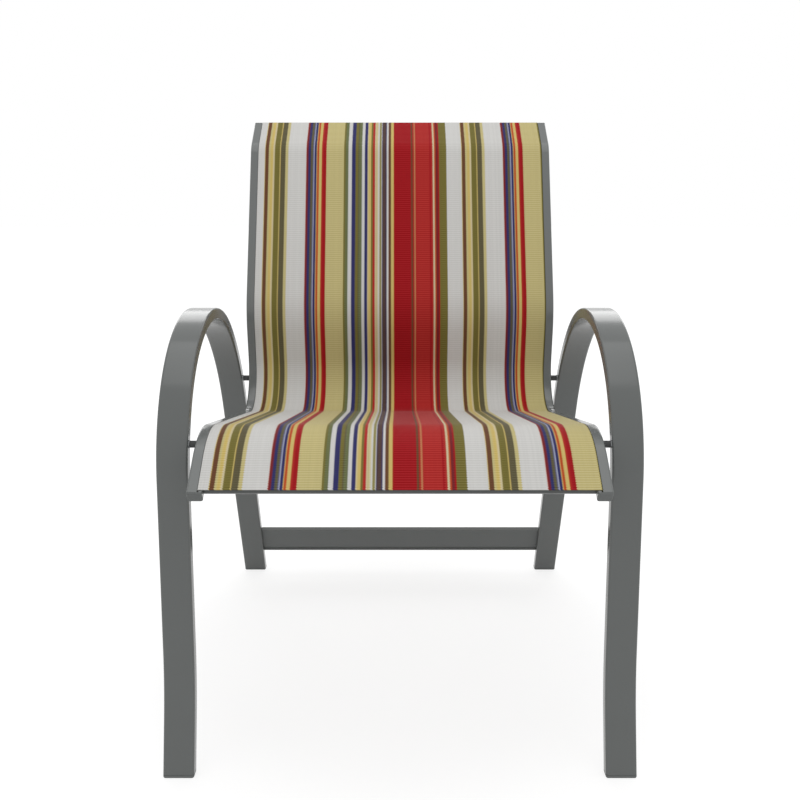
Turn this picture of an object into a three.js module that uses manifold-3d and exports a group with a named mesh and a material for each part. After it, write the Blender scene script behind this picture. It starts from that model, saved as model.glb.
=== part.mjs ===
// Sling patio chair: two bent-bar side frames carry two S-shaped sling rails, and one
// striped cloth is stretched between the rails, held by a cord in each rail's groove.
// Millimetres and degrees. +Z is up, +Y points to the back, and left and right are as
// seen from the front. The origin lies on the floor under the middle of the chair.
import * as THREE from "three";
import Module from "manifold-3d";
import { mergeVertices } from "three/addons/utils/BufferGeometryUtils.js";

const { degToRad, radToDeg } = THREE.MathUtils;
const wasm = await Module();
wasm.setup();

// Overall size and fits
const overallWidth = 610; // outside to outside of the side frames
const seatGap = 0.3; // air between two pieces that touch
const threadGap = 0.2; // air round a screw in its thread
const boreGap = 0.2; // air round a screw in a plain hole
const overrun = 2; // how far a cutting tool runs past a face
const mergeTolerance = 0.001;

// Side frame bar, a flat aluminium tube
const barWidth = 40;
const barThickness = 17;
const barCorner = 3;
const barWall = 2;

// Side frame bends, from the front foot over the arm to the rear foot
const footLean = 15.7; // degrees from upright, leaning back as it rises
const footStraight = 73;
const footRadius = 440;
const footBend = -11.5;
const legStraight = 225.5;
const shoulderRadius = 190;
const shoulderBend = 60;
const crownRadius = 234;
const crownBend = 60;
const sweepRadius = 353;
const sweepBend = 32;

// Sling rail, an aluminium extrusion with a cord groove along its inner edge
const railGap = 11.5; // side frame to rail
const railWidth = 18.4;
const railHeight = 16.5;
const railTopCorner = 2;
const railFootCorner = 3;
const railWall = 1.6;
const railFace = 12.7; // width of the face that shows beside the cloth
const mouthWidth = 1.7;
const grooveDepth = 4.8; // from the rail's face to the cord's centre
const boltDepth = 11.6; // from the rail's face to every bolt and screw through the rail

// Sling rail bends, from the front of the seat to the top of the back
const noseHeading = 54.3; // degrees from upright at the front end
const noseStraight = 54;
const noseRadius = 115.5;
const noseBend = 46.2;
const seatStraight = 299;
const hipRadius = 64.5;
const hipBend = -107;
const waistStraight = 48.5;
const lumbarRadius = 122.5;
const lumbarBend = 30;
const backStraight = 248.5;
const curlRadius = 42;
const curlBend = 30.7;
const curlStraight = 60;

// Where the rails hang on the side frames
const frontBoltHeight = 427;
const railReach = 94; // along the rail, from its front end to the front bolt

// Cloth and its cords
const clothThickness = 0.8;
const clothSlack = 0.3; // air between the cord and the cloth loop round it
const cordDiameter = 2.6;
const clothFrontInset = 5.7; // from the rail's front end to the cloth's front edge
const clothTopInset = 0.5; // from the rail's top end to the cloth's top edge
const cordInset = 7;
const clothBend = 0.5; // how far the cloth's edge is rounded where it turns into the groove

// Spreader bars between the rails
const spreaderWidth = 26;
const spreaderThickness = 11;
const spreaderWall = 1.8;
const portWall = 1.5; // metal between the screw port and the hollow on each side of it
const frontSpreaderInset = 22.3; // from the rail's front end to the bar's centre
const hipSpreaderInset = 52; // from the seat's rear bend forward to the bar's centre
const topSpreaderInset = 27; // from the rail's top end to the bar's centre
const bowStraight = 28; // straight stretch at each end of a bowed bar
const bowRadius = 45;
const bowAngle = 26;
const bowSlope = 30; // straight stretch between the two bends of a bow

// Rear stretcher, an open channel between the rear legs
const stretcherHeight = 54;
const stretcherDepth = 9;
const stretcherFlange = 4;
const stretcherWeb = 3.5;
const stretcherCorner = 1;
const stretcherRise = 77.7; // along the leg, from the floor to the channel's middle

// Frame bolts, their spacers and the threaded inserts in the side frames
const boltDiameter = 6;
const boltHeadDiameter = 10;
const boltHeadHeight = 3.3;
const boltSocketDiameter = 4;
const boltSocketDepth = 1.8;
const boltBeyondWall = 9; // thread past the side frame's inner wall
const spacerDiameter = 9;
const insertDiameter = 9.2;
const insertFlangeDiameter = 10.4;
const insertFlange = 0.5;
const insertBeyondWall = 8;

// Screws that hold the spreader bars: their heads sit inside the rail's bore
const screwDiameter = 3.5;
const screwHeadDiameter = 6;
const screwHeadHeight = 2.4;
const screwSocketDiameter = 2.6;
const screwSocketDepth = 1.2;
const screwGrip = 14; // thread inside the spreader bar

// Rail end plugs and foot glides
const plugPlate = 2;
const plugTongue = 10;
const plugRounding = 1.5;
const glideHeight = 4;
const glideRounding = 2.4;
const glideTongue = 18;
const glideTongueCorner = 0.5;

// Facets
const bendFacet = 7.5; // degrees of bend in one facet
const cornerFacets = 2;
const roundingFacets = 3;
const grooveFacets = 6;
const hollowSides = 6;
const portSides = 8;
const clothLoopFacets = 5;
const cordSides = 6;
const turnedSides = 12;

const railOuter = overallWidth / 2 - barWidth - railGap;
const railInner = railOuter - railWidth;
const frameInner = overallWidth / 2 - barWidth;
const sides = { left: -1, right: 1 };

// Materials
const paint = { color: 0x6b6d6c, roughness: 0.42, metalness: 0.25 };
const finishes = {
  frame: { ...paint },
  rail: { ...paint, color: 0x757776 },
  spreader: { ...paint, color: 0x5a5c5b },
  plastic: { color: 0x5f6160, roughness: 0.6, metalness: 0 },
  spacer: { color: 0x3a3b3b, roughness: 0.55, metalness: 0.1 },
  steel: { color: 0x9a9c9e, roughness: 0.35, metalness: 0.9 },
  cord: { color: 0xd8d6d0, roughness: 0.7, metalness: 0 },
  cloth: { color: 0xc9c3a6, roughness: 0.85, metalness: 0, side: THREE.DoubleSide },
};

const chair = new THREE.Group();

/** Adds a geometry to the chair as a named mesh in one of the finishes. */
function addPiece(name, geometry, finish) {
  geometry.computeVertexNormals();
  const mesh = new THREE.Mesh(geometry, new THREE.MeshStandardMaterial(finishes[finish]));
  mesh.name = name;
  chair.add(mesh);
  return mesh;
}

// Flat routes of straights and bends

/**
 * A route in a side view. Heading 0 points up and heading 90 points to the back.
 * Positive bends turn to the back. Its stations hold y, z, heading and travel.
 */
class BendRoute {
  constructor(heading, stations) {
    this.stations = stations ?? [{ y: 0, z: 0, heading: degToRad(heading), travel: 0 }];
  }

  get end() {
    return this.stations[this.stations.length - 1];
  }

  get length() {
    return this.end.travel;
  }

  straight(length) {
    const { y, z, heading, travel } = this.end;
    this.stations.push({
      y: y + length * Math.sin(heading),
      z: z + length * Math.cos(heading),
      heading,
      travel: travel + length,
    });
    return this;
  }

  bend(radius, degrees) {
    const start = this.end;
    const steps = Math.max(1, Math.ceil(Math.abs(degrees) / bendFacet));
    const swing = Math.sign(degrees) * radius;
    for (let step = 1; step <= steps; step += 1) {
      const heading = start.heading + (degToRad(degrees) * step) / steps;
      this.stations.push({
        y: start.y + swing * (Math.cos(start.heading) - Math.cos(heading)),
        z: start.z + swing * (Math.sin(heading) - Math.sin(start.heading)),
        heading,
        travel: start.travel + (degToRad(Math.abs(degrees)) * radius * step) / steps,
      });
    }
    return this;
  }

  /** The station at a travel, read off the faceted route. */
  at(travel) {
    const next = this.stations.findIndex((station) => station.travel >= travel);
    const [from, to] = [this.stations[Math.max(next - 1, 0)], this.stations[Math.max(next, 1)]];
    const part = (travel - from.travel) / (to.travel - from.travel);
    const mix = (key) => from[key] + part * (to[key] - from[key]);
    return { y: mix("y"), z: mix("z"), heading: mix("heading"), travel };
  }

  /** The point where the faceted route first reaches a height. */
  atHeight(height) {
    const next = this.stations.findIndex(({ z }) => z > height);
    const [below, above] = this.stations.slice(next - 1, next + 1);
    const part = (height - below.z) / (above.z - below.z);
    return { y: below.y + part * (above.y - below.y), z: height };
  }

  /** The stations from one travel to another, with exact ends. */
  between(from, to) {
    const inner = this.stations.filter(({ travel }) => travel > from && travel < to);
    return [this.at(from), ...inner, this.at(to)];
  }

  /** A station past the route's end, straight on. */
  past(length) {
    const { y, z, heading, travel } = this.end;
    return {
      y: y + length * Math.sin(heading),
      z: z + length * Math.cos(heading),
      heading,
      travel: travel + length,
    };
  }

  moved(y, z) {
    const shifted = this.stations.map((s) => ({ ...s, y: s.y + y, z: s.z + z }));
    return new BendRoute(0, shifted);
  }
}

/** A point at a depth from the route: positive is the arm's outside and the sling's face. */
function offset({ y, z, heading }, depth) {
  return { y: y - depth * Math.cos(heading), z: z + depth * Math.sin(heading) };
}

/** Where one route's offset line crosses another route, past a given travel of the first. */
function crossing(route, depth, other, fromTravel) {
  const line = route.stations.filter(({ travel }) => travel > fromTravel);
  for (let i = 0; i + 1 < line.length; i += 1) {
    const p = offset(line[i], depth);
    const pEnd = offset(line[i + 1], depth);
    for (let j = 0; j + 1 < other.stations.length; j += 1) {
      const q = other.stations[j];
      const qEnd = other.stations[j + 1];
      const [ry, rz, sy, sz] = [pEnd.y - p.y, pEnd.z - p.z, qEnd.y - q.y, qEnd.z - q.z];
      const turn = ry * sz - rz * sy;
      const t = ((q.y - p.y) * sz - (q.z - p.z) * sy) / turn;
      const u = ((q.y - p.y) * rz - (q.z - p.z) * ry) / turn;
      if (t >= 0 && t < 1 && u >= 0 && u < 1) return { y: p.y + t * ry, z: p.z + t * rz };
    }
  }
  throw new Error("the rail's bolt line doesn't cross the side frame");
}

// Flat outlines, as lists of Vector2

const corner = (x, y, radius, from, to, facets) =>
  Array.from({ length: facets + 1 }, (_, i) => {
    const angle = degToRad(from + ((to - from) * i) / facets);
    return new THREE.Vector2(x + radius * Math.cos(angle), y + radius * Math.sin(angle));
  });

/** A round hole, its flats at the radius, with a point of the outline straight down. */
const hole = (centre, radius, facets) =>
  corner(centre, 0, radius / Math.cos(degToRad(180 / facets)), -90, 270, facets).slice(1);

/** A rectangle from (x0, y0) to (x1, y1) with rounded lower and upper corners. */
function roundedBox(x0, y0, x1, y1, lower, upper = lower, facets = cornerFacets) {
  return [
    ...corner(x0 + lower, y0 + lower, lower, 180, 270, facets),
    ...corner(x1 - lower, y0 + lower, lower, 270, 360, facets),
    ...corner(x1 - upper, y1 - upper, upper, 0, 90, facets),
    ...corner(x0 + upper, y1 - upper, upper, 90, 180, facets),
  ];
}

/** The bar's outline, drawn in by an inset. */
const barOutline = (inset, radius = barCorner - inset) => {
  const [x, y] = [barWidth / 2 - inset, barThickness / 2 - inset];
  return roundedBox(-x, -y, x, y, radius);
};

const barBore = () => {
  const [x, y] = [barWidth / 2 - barWall, barThickness / 2 - barWall];
  return [[-x, -y], [x, -y], [x, y], [-x, y]].map((p) => new THREE.Vector2(...p));
};

// Lofts

/**
 * A closed skin over rings of points. Every ring holds the points of all outlines, the
 * outer one first and then the holes, and the first and last rings are closed by caps.
 */
function loft(outlines, rings) {
  const wound = outlines.map((outline, i) =>
    THREE.ShapeUtils.isClockWise(outline) === i > 0 ? outline : [...outline].reverse(),
  );
  const order = outlines.flatMap((outline, i) => {
    const base = outlines.slice(0, i).reduce((sum, o) => sum + o.length, 0);
    const kept = wound[i] === outline;
    return outline.map((_, k) => base + (kept ? k : outline.length - 1 - k));
  });
  const count = order.length;
  const vertices = rings.flatMap((ring) => order.flatMap((k) => ring[k].toArray()));
  const faces = THREE.ShapeUtils.triangulateShape(wound[0], wound.slice(1));
  const last = (rings.length - 1) * count;
  const index = faces.flatMap(([a, b, c]) => [c, b, a, last + a, last + b, last + c]);
  for (let ring = 0; ring + 1 < rings.length; ring += 1) {
    let start = ring * count;
    for (const outline of wound) {
      outline.forEach((_, k) => {
        const [a, b] = [start + k, start + ((k + 1) % outline.length)];
        index.push(a, b, b + count, a, b + count, a + count);
      });
      start += outline.length;
    }
  }
  const geometry = new THREE.BufferGeometry();
  geometry.setAttribute("position", new THREE.Float32BufferAttribute(vertices, 3));
  geometry.setIndex(index);
  return facingOut(geometry);
}

/** Turns the faces round where a mirrored loft has them pointing in. */
function facingOut(geometry) {
  const [index, position] = [geometry.index.array, geometry.attributes.position];
  const [a, b, c] = [0, 1, 2].map(() => new THREE.Vector3());
  let volume = 0;
  for (let i = 0; i < index.length; i += 3) {
    [a, b, c].forEach((point, k) => point.fromBufferAttribute(position, index[i + k]));
    volume += a.dot(b.cross(c));
  }
  if (volume < 0) geometry.setIndex(Array.from(index).reverse());
  return geometry;
}

/** A ring square to the route: outline x runs inwards from xOuter, outline y is depth. */
const squareRing = (station, outlines, side, xOuter) =>
  outlines.flat().map((point) => {
    const { y, z } = offset(station, point.y);
    return new THREE.Vector3(side * (xOuter - point.x), y, z);
  });

/** A ring cut level at a height, each point slid along the bar to that height. */
const levelRing = (station, outlines, side, xOuter, height) =>
  squareRing(station, outlines, side, xOuter).map((point) => {
    const slide = (height - point.z) / Math.cos(station.heading);
    return new THREE.Vector3(point.x, point.y + slide * Math.sin(station.heading), height);
  });

const sweep = (stations, outlines, side, xOuter) =>
  loft(outlines, stations.map((station) => squareRing(station, outlines, side, xOuter)));

// Solids that are cut or joined

function toSolid(geometry) {
  const bare = new THREE.BufferGeometry();
  bare.setAttribute("position", geometry.attributes.position);
  bare.setIndex(geometry.index);
  const merged = mergeVertices(bare, mergeTolerance);
  const mesh = new wasm.Mesh({
    numProp: 3,
    vertProperties: merged.attributes.position.array,
    triVerts: new Uint32Array(merged.index.array),
  });
  return new wasm.Manifold(mesh);
}

function toGeometry(solid) {
  const mesh = solid.getMesh();
  const geometry = new THREE.BufferGeometry();
  geometry.setAttribute("position", new THREE.BufferAttribute(mesh.vertProperties, 3));
  geometry.setIndex(new THREE.BufferAttribute(mesh.triVerts, 1));
  return geometry;
}

const cut = (geometry, tools) =>
  toGeometry(tools.reduce((solid, tool) => solid.subtract(toSolid(tool)), toSolid(geometry)));

const join = (geometry, other) => toGeometry(toSolid(geometry).add(toSolid(other)));

/** A turned piece along X: profile points are [radius, distance towards the centre]. */
function turned(profile, side, xStart, { y, z }) {
  const points = profile.map(([radius, along]) => new THREE.Vector2(radius, along));
  const geometry = new THREE.LatheGeometry(points, turnedSides);
  geometry.rotateZ(side * degToRad(90));
  geometry.translate(side * xStart, y, z);
  return geometry;
}

// Routes of the side frame and the sling rail

const frameRoute = new BendRoute(footLean)
  .straight(footStraight)
  .bend(footRadius, footBend)
  .straight(legStraight)
  .bend(shoulderRadius, shoulderBend)
  .bend(crownRadius, crownBend)
  .bend(sweepRadius, sweepBend);
frameRoute.straight(-frameRoute.end.z / Math.cos(frameRoute.end.heading));

const frontBolt = frameRoute.atHeight(frontBoltHeight);

const drawnRail = new BendRoute(noseHeading)
  .straight(noseStraight)
  .bend(noseRadius, noseBend)
  .straight(seatStraight);
const hipTravel = drawnRail.length;
drawnRail
  .bend(hipRadius, hipBend)
  .straight(waistStraight)
  .bend(lumbarRadius, lumbarBend)
  .straight(backStraight)
  .bend(curlRadius, curlBend)
  .straight(curlStraight);
const drawnBolt = offset(drawnRail.at(railReach), -boltDepth);
const railRoute = drawnRail.moved(frontBolt.y - drawnBolt.y, frontBolt.z - drawnBolt.z);
const rearBolt = crossing(railRoute, -boltDepth, frameRoute, hipTravel);
const bolts = { front: frontBolt, rear: rearBolt };

// Side frames

/** Hole through the bar's inner wall for a threaded insert. */
const insertHole = (side, place) =>
  turned(
    [
      [0, -barWall - overrun],
      [insertDiameter / 2 + boreGap, -barWall - overrun],
      [insertDiameter / 2 + boreGap, overrun],
      [0, overrun],
    ],
    side,
    frameInner,
    place,
  );

function makeSideFrame(side) {
  const outlines = [barOutline(0), barBore()];
  const xOuter = overallWidth / 2 - barWidth / 2;
  const foot = glideHeight + seatGap;
  const { stations } = frameRoute;
  const rings = stations.slice(1, -1).map((s) => squareRing(s, outlines, side, xOuter));
  rings.unshift(levelRing(stations[0], outlines, side, xOuter, foot));
  rings.push(levelRing(frameRoute.end, outlines, side, xOuter, foot));
  const holes = Object.values(bolts).map((place) => insertHole(side, place));
  return cut(loft(outlines, rings), holes);
}

/** Foot glide: a rounded foot under the bar and a tongue that fills its end. */
function makeGlide(side, station) {
  const xOuter = overallWidth / 2 - barWidth / 2;
  const rounding = Array.from({ length: roundingFacets + 1 }, (_, i) => {
    const angle = degToRad((90 * i) / roundingFacets);
    return [glideRounding * (1 - Math.cos(angle)), glideRounding * (1 - Math.sin(angle))];
  });
  const tongue = barOutline(barWall + seatGap, glideTongueCorner);
  const ringAt = (outline, height) => levelRing(station, [outline], side, xOuter, height);
  return loft(
    [barOutline(0)],
    [
      ...rounding.map(([height, inset]) => ringAt(barOutline(inset), height)),
      ringAt(barOutline(0), glideHeight),
      ringAt(tongue, glideHeight),
      ringAt(tongue, glideHeight + glideTongue),
    ],
  );
}

// Sling rails

const mouthCentre = railFace + mouthWidth / 2;
const lipDrop = clothThickness + seatGap;
const loopBore = cordDiameter / 2 + clothSlack;
const loopOuter = loopBore + clothThickness;
const grooveRadius = loopOuter + seatGap;
const grooveShelf = grooveDepth + grooveRadius + railWall / 2;

/** The rail's section: x from the outer side inwards, y is 0 at the face and minus below. */
function railOutline() {
  const mouthAngle = radToDeg(Math.acos(mouthWidth / 2 / grooveRadius));
  const farAngle = -180 - mouthAngle;
  const start = roundedBox(0, -railHeight, railWidth, 0, railFootCorner, railTopCorner);
  const outerCorner = start.slice(-cornerFacets - 1);
  const lowerCorners = start.slice(0, 2 * (cornerFacets + 1));
  return [
    ...outerCorner,
    ...lowerCorners,
    new THREE.Vector2(railWidth, -2 * lipDrop),
    new THREE.Vector2(railWidth - lipDrop, -lipDrop),
    new THREE.Vector2(railFace + mouthWidth, -lipDrop),
    ...corner(mouthCentre, -grooveDepth, grooveRadius, mouthAngle, farAngle, grooveFacets),
    new THREE.Vector2(railFace, -clothBend),
    new THREE.Vector2(railFace - clothBend, 0),
  ];
}

/** The rail's bore: an L round the groove, drawn in by an inset. */
function railBore(inset = 0) {
  const [left, right] = [railWall + inset, railWidth - railWall - inset];
  const [foot, head] = [-railHeight + railWall + inset, -railWall - inset];
  const step = mouthCentre - grooveRadius - railWall - inset;
  const shelf = -grooveShelf - inset;
  return [[left, foot], [right, foot], [right, shelf], [step, shelf], [step, head], [left, head]]
    .map((point) => new THREE.Vector2(...point));
}

const railStart = plugPlate + seatGap;
const railEnd = railRoute.length - plugPlate - seatGap;
const spreaderTravels = {
  front: frontSpreaderInset,
  hip: hipTravel - hipSpreaderInset,
  top: railRoute.length - topSpreaderInset,
};

/** Wide hole for the screw's head in a rail's outer wall, narrow hole in its inner wall. */
const screwHole = (side, place) =>
  turned(
    [
      [0, -overrun],
      [screwHeadDiameter / 2 + boreGap, -overrun],
      [screwHeadDiameter / 2 + boreGap, railWidth / 2],
      [screwDiameter / 2 + boreGap, railWidth / 2],
      [screwDiameter / 2 + boreGap, railWidth + overrun],
      [0, railWidth + overrun],
    ],
    side,
    railOuter,
    place,
  );

/** Plain bolt hole right through a rail. */
const boltHole = (side, place) =>
  turned(
    [
      [0, -overrun],
      [boltDiameter / 2 + boreGap, -overrun],
      [boltDiameter / 2 + boreGap, railWidth + overrun],
      [0, railWidth + overrun],
    ],
    side,
    railOuter,
    place,
  );

const screwPlaces = Object.fromEntries(
  Object.entries(spreaderTravels).map(([name, travel]) => [
    name,
    offset(railRoute.at(travel), -boltDepth),
  ]),
);

function makeRail(side) {
  const body = sweep(
    railRoute.between(railStart, railEnd), [railOutline(), railBore()], side, railOuter,
  );
  const tools = [
    ...Object.values(bolts).map((place) => boltHole(side, place)),
    ...Object.values(screwPlaces).map((place) => screwHole(side, place)),
  ];
  return cut(body, tools);
}

/** Room for the cloth and its loop where they run on over a plug's plate. */
function clothPassage(side) {
  const mouthAngle = radToDeg(Math.acos(mouthWidth / 2 / grooveRadius));
  const outline = [
    new THREE.Vector2(railWidth + overrun, -lipDrop),
    new THREE.Vector2(railWidth + overrun, overrun),
    new THREE.Vector2(railFace, overrun),
    ...corner(
      mouthCentre, -grooveDepth, grooveRadius, -180 - mouthAngle, mouthAngle, grooveFacets,
    ),
    new THREE.Vector2(railFace + mouthWidth, -lipDrop),
  ];
  const stations = [railRoute.at(railEnd), railRoute.end, railRoute.past(overrun)];
  return sweep(stations, [outline], side, railOuter);
}

/**
 * End plug: a plate with rounded edges, and a tongue that fits the rail's bore. The top
 * plug leaves the groove open, so that the cloth runs on to the rail's end.
 */
function makePlug(side, end) {
  const travelAt = (depth) => (end === "front" ? depth : railRoute.length - depth);
  const plateAt = (depth, inset) => {
    const radius = [railFootCorner - inset, railTopCorner - inset];
    const outline = roundedBox(inset, inset - railHeight, railWidth - inset, -inset, ...radius);
    return squareRing(railRoute.at(travelAt(depth)), [outline], side, railOuter);
  };
  const rounding = Array.from({ length: roundingFacets + 1 }, (_, i) => {
    const angle = degToRad((90 * i) / roundingFacets);
    return plateAt(plugRounding * (1 - Math.cos(angle)), plugRounding * (1 - Math.sin(angle)));
  });
  const outline = roundedBox(0, -railHeight, railWidth, 0, railFootCorner, railTopCorner);
  const plate = loft([outline], [...rounding, plateAt(plugPlate, 0)]);
  const ends = [travelAt(plugPlate / 2), travelAt(plugPlate + seatGap + plugTongue)];
  const [from, to] = ends.sort((a, b) => a - b);
  const tongue = sweep(railRoute.between(from, to), [railBore(seatGap)], side, railOuter);
  if (end === "front") return join(plate, tongue);
  return join(cut(plate, [clothPassage(side)]), tongue);
}

// Cloth and cords

/**
 * One edge of the cloth's section, about the groove's centre: x is positive towards the
 * side frame. The cloth turns down into the groove and loops round the cord.
 */
function clothEdge() {
  const half = clothThickness / 2;
  const outerAngle = radToDeg(Math.acos(half / loopOuter));
  const innerAngle = radToDeg(Math.acos(-half / loopBore));
  const freeEnd = -220;
  return [
    new THREE.Vector2(half - clothBend, 0),
    new THREE.Vector2(half, -clothBend),
    ...corner(0, -grooveDepth, loopOuter, outerAngle, freeEnd, clothLoopFacets),
    ...corner(0, -grooveDepth, loopBore, freeEnd, innerAngle, clothLoopFacets),
    new THREE.Vector2(-half, -clothThickness),
  ];
}

function makeCloth() {
  const centre = railOuter - mouthCentre;
  const edge = clothEdge();
  const right = edge.map(({ x, y }) => new THREE.Vector2(-centre - x, y));
  const left = edge.map(({ x, y }) => new THREE.Vector2(centre + x, y)).reverse();
  const stations = railRoute.between(clothFrontInset, railRoute.length - clothTopInset);
  return sweep(stations, [[...right, ...left]], 1, 0);
}

function makeCord(side) {
  const outline = corner(
    mouthCentre, -grooveDepth, cordDiameter / 2, 0, 360, cordSides,
  ).slice(0, cordSides);
  const stations = railRoute.between(cordInset, railRoute.length - cordInset);
  return sweep(stations, [outline], side, railOuter);
}

// Spreader bars

/** Spreader section: a flat oval with a screw port between two hollows. */
function spreaderOutlines() {
  const [x, y] = [spreaderWidth / 2, spreaderThickness / 2];
  const outer = [
    ...corner(y - x, 0, y, 90, 270, 2 * cornerFacets),
    ...corner(x - y, 0, y, -90, 90, 2 * cornerFacets),
  ];
  const portRadius = screwDiameter / 2 + threadGap;
  const hollowRadius = y - spreaderWall;
  const hollowCentre = portRadius + portWall + hollowRadius;
  const hollow = (centre) => hole(centre, hollowRadius, hollowSides);
  return [outer, hole(0, portRadius, portSides), hollow(-hollowCentre), hollow(hollowCentre)];
}

/** Half-lengths of a bar, as stations along X: x, drop away from the cloth, and slope. */
function bowStations(bowed) {
  const reach = railInner - seatGap;
  const straightBar = [{ x: -reach, drop: 0, slope: 0 }, { x: reach, drop: 0, slope: 0 }];
  if (!bowed) return straightBar;
  const half = new BendRoute(90)
    .straight(bowStraight)
    .bend(bowRadius, bowAngle)
    .straight(bowSlope)
    .bend(bowRadius, -bowAngle);
  const leftHalf = half.stations.map(({ y, z, heading }) => ({
    x: y - reach,
    drop: -z,
    slope: heading - degToRad(90),
  }));
  const rightHalf = leftHalf.map(({ x, drop, slope }) => ({ x: -x, drop, slope: -slope }));
  return [...leftHalf, ...rightHalf.reverse()];
}

/** A spreader bar, square to the rail where it meets it. */
function addSpreader(name, travel, bowed) {
  const outlines = spreaderOutlines();
  const rings = bowStations(bowed).map(({ x, drop, slope }) =>
    outlines.flat().map(
      (point) =>
        new THREE.Vector3(
          x + point.y * Math.sin(slope),
          point.x,
          point.y * Math.cos(slope) - drop,
        ),
    ),
  );
  const mesh = addPiece(name, loft(outlines, rings), "spreader");
  seatOn(mesh, railRoute.at(travel), -boltDepth);
}

/** Turns a mesh so that its Y runs along a route and its Z points out of the route's face. */
function seatOn(mesh, station, depth) {
  const { y, z } = offset(station, depth);
  mesh.rotation.x = degToRad(90) - station.heading;
  mesh.position.set(0, y, z);
}

// Rear stretcher

/** Channel section: x along the leg, y towards the back, open to the front. */
function stretcherShape() {
  const back = barThickness / 2;
  const front = back - stretcherDepth;
  const [top, web] = [stretcherHeight / 2, back - stretcherWeb];
  const shape = new THREE.Shape();
  shape.moveTo(top - stretcherCorner, back);
  shape.lineTo(stretcherCorner - top, back);
  shape.quadraticCurveTo(-top, back, -top, back - stretcherCorner);
  shape.lineTo(-top, front);
  shape.lineTo(stretcherFlange - top, front);
  shape.lineTo(stretcherFlange - top, web);
  shape.lineTo(top - stretcherFlange, web);
  shape.lineTo(top - stretcherFlange, front);
  shape.lineTo(top, front);
  shape.lineTo(top, back - stretcherCorner);
  shape.quadraticCurveTo(top, back, top - stretcherCorner, back);
  return shape;
}

function addStretcher() {
  const length = 2 * (frameInner - seatGap);
  const geometry = new THREE.ExtrudeGeometry(stretcherShape(), {
    depth: length,
    bevelEnabled: false,
    curveSegments: cornerFacets,
  });
  geometry.translate(0, 0, -length / 2);
  const turn = new THREE.Matrix4().makeBasis(
    new THREE.Vector3(0, 1, 0),
    new THREE.Vector3(0, 0, 1),
    new THREE.Vector3(1, 0, 0),
  );
  geometry.applyMatrix4(turn);
  const mesh = addPiece("rear_stretcher", geometry, "frame");
  seatOn(mesh, frameRoute.at(frameRoute.length - stretcherRise), 0);
}

// Fasteners

/** Threaded insert: its flange lies on the bar's inner side, its barrel inside the bar. */
function makeInsert(side, place) {
  const bore = boltDiameter / 2 + threadGap;
  const flangeBack = seatGap + insertFlange;
  const barrel = -barWall - insertBeyondWall;
  return turned(
    [
      [bore, flangeBack],
      [bore, barrel],
      [insertDiameter / 2, barrel],
      [insertDiameter / 2, seatGap],
      [insertFlangeDiameter / 2, seatGap],
      [insertFlangeDiameter / 2, flangeBack],
      [bore, flangeBack],
    ],
    side,
    frameInner,
    place,
  );
}

function makeSpacer(side, place) {
  const bore = boltDiameter / 2 + boreGap;
  const length = railGap - insertFlange - 3 * seatGap;
  return turned(
    [
      [bore, -seatGap],
      [bore, -seatGap - length],
      [spacerDiameter / 2, -seatGap - length],
      [spacerDiameter / 2, -seatGap],
      [bore, -seatGap],
    ],
    side,
    railOuter,
    place,
  );
}

/** Frame bolt: its button head bears on the rail's inner side. */
function makeFrameBolt(side, place) {
  const tip = railWidth + railGap + barWall + boltBeyondWall;
  const [head, socket, shank] = [boltHeadDiameter, boltSocketDiameter, boltDiameter];
  const bearing = seatGap;
  const crown = bearing + boltHeadHeight;
  return turned(
    [
      [0, -tip],
      [shank / 2, -tip],
      [shank / 2, bearing],
      [head / 2, bearing],
      [head / 2, bearing + boltHeadHeight / 2],
      [(head + socket) / 4, crown],
      [socket / 2, crown],
      [socket / 2, crown - boltSocketDepth],
      [0, crown - boltSocketDepth],
    ],
    side,
    railInner,
    place,
  );
}

/** Screw whose head bears on the rail's inner wall, from inside the bore. */
function makeSpreaderScrew(side, place) {
  const bearing = railWidth - railWall - seatGap;
  const crown = bearing - screwHeadHeight;
  const tip = railWidth + seatGap + screwGrip;
  return turned(
    [
      [0, crown + screwSocketDepth],
      [screwSocketDiameter / 2, crown + screwSocketDepth],
      [screwSocketDiameter / 2, crown],
      [screwHeadDiameter / 2, crown],
      [screwHeadDiameter / 2, bearing],
      [screwDiameter / 2, bearing],
      [screwDiameter / 2, tip],
      [0, tip],
    ],
    side,
    railOuter,
    place,
  );
}

// Assembly

for (const [hand, side] of Object.entries(sides)) {
  addPiece(`side_frame_${hand}`, makeSideFrame(side), "frame");
  addPiece(`sling_rail_${hand}`, makeRail(side), "rail");
  addPiece(`groove_cord_${hand}`, makeCord(side), "cord");
  addPiece(`foot_glide_front_${hand}`, makeGlide(side, frameRoute.stations[0]), "plastic");
  addPiece(`foot_glide_rear_${hand}`, makeGlide(side, frameRoute.end), "plastic");
  addPiece(`rail_plug_front_${hand}`, makePlug(side, "front"), "plastic");
  addPiece(`rail_plug_top_${hand}`, makePlug(side, "top"), "plastic");
  for (const [where, place] of Object.entries(bolts)) {
    addPiece(`frame_bolt_${where}_${hand}`, makeFrameBolt(side, place), "steel");
    addPiece(`frame_spacer_${where}_${hand}`, makeSpacer(side, place), "spacer");
    addPiece(`frame_insert_${where}_${hand}`, makeInsert(side, place), "steel");
  }
  for (const [where, place] of Object.entries(screwPlaces)) {
    addPiece(`spreader_screw_${where}_${hand}`, makeSpreaderScrew(side, place), "steel");
  }
}
addSpreader("front_spreader", spreaderTravels.front, false);
addSpreader("hip_spreader", spreaderTravels.hip, true);
addSpreader("top_spreader", spreaderTravels.top, true);
addStretcher();
addPiece("sling", makeCloth(), "cloth");

// The origin lies on the floor, under the middle of the chair's outer box
chair.updateMatrixWorld(true);
const outerBox = new THREE.Box3().setFromObject(chair, true);
const middle = outerBox.getCenter(new THREE.Vector3());
chair.position.set(-middle.x, -middle.y, -outerBox.min.z);

export default chair;
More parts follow.
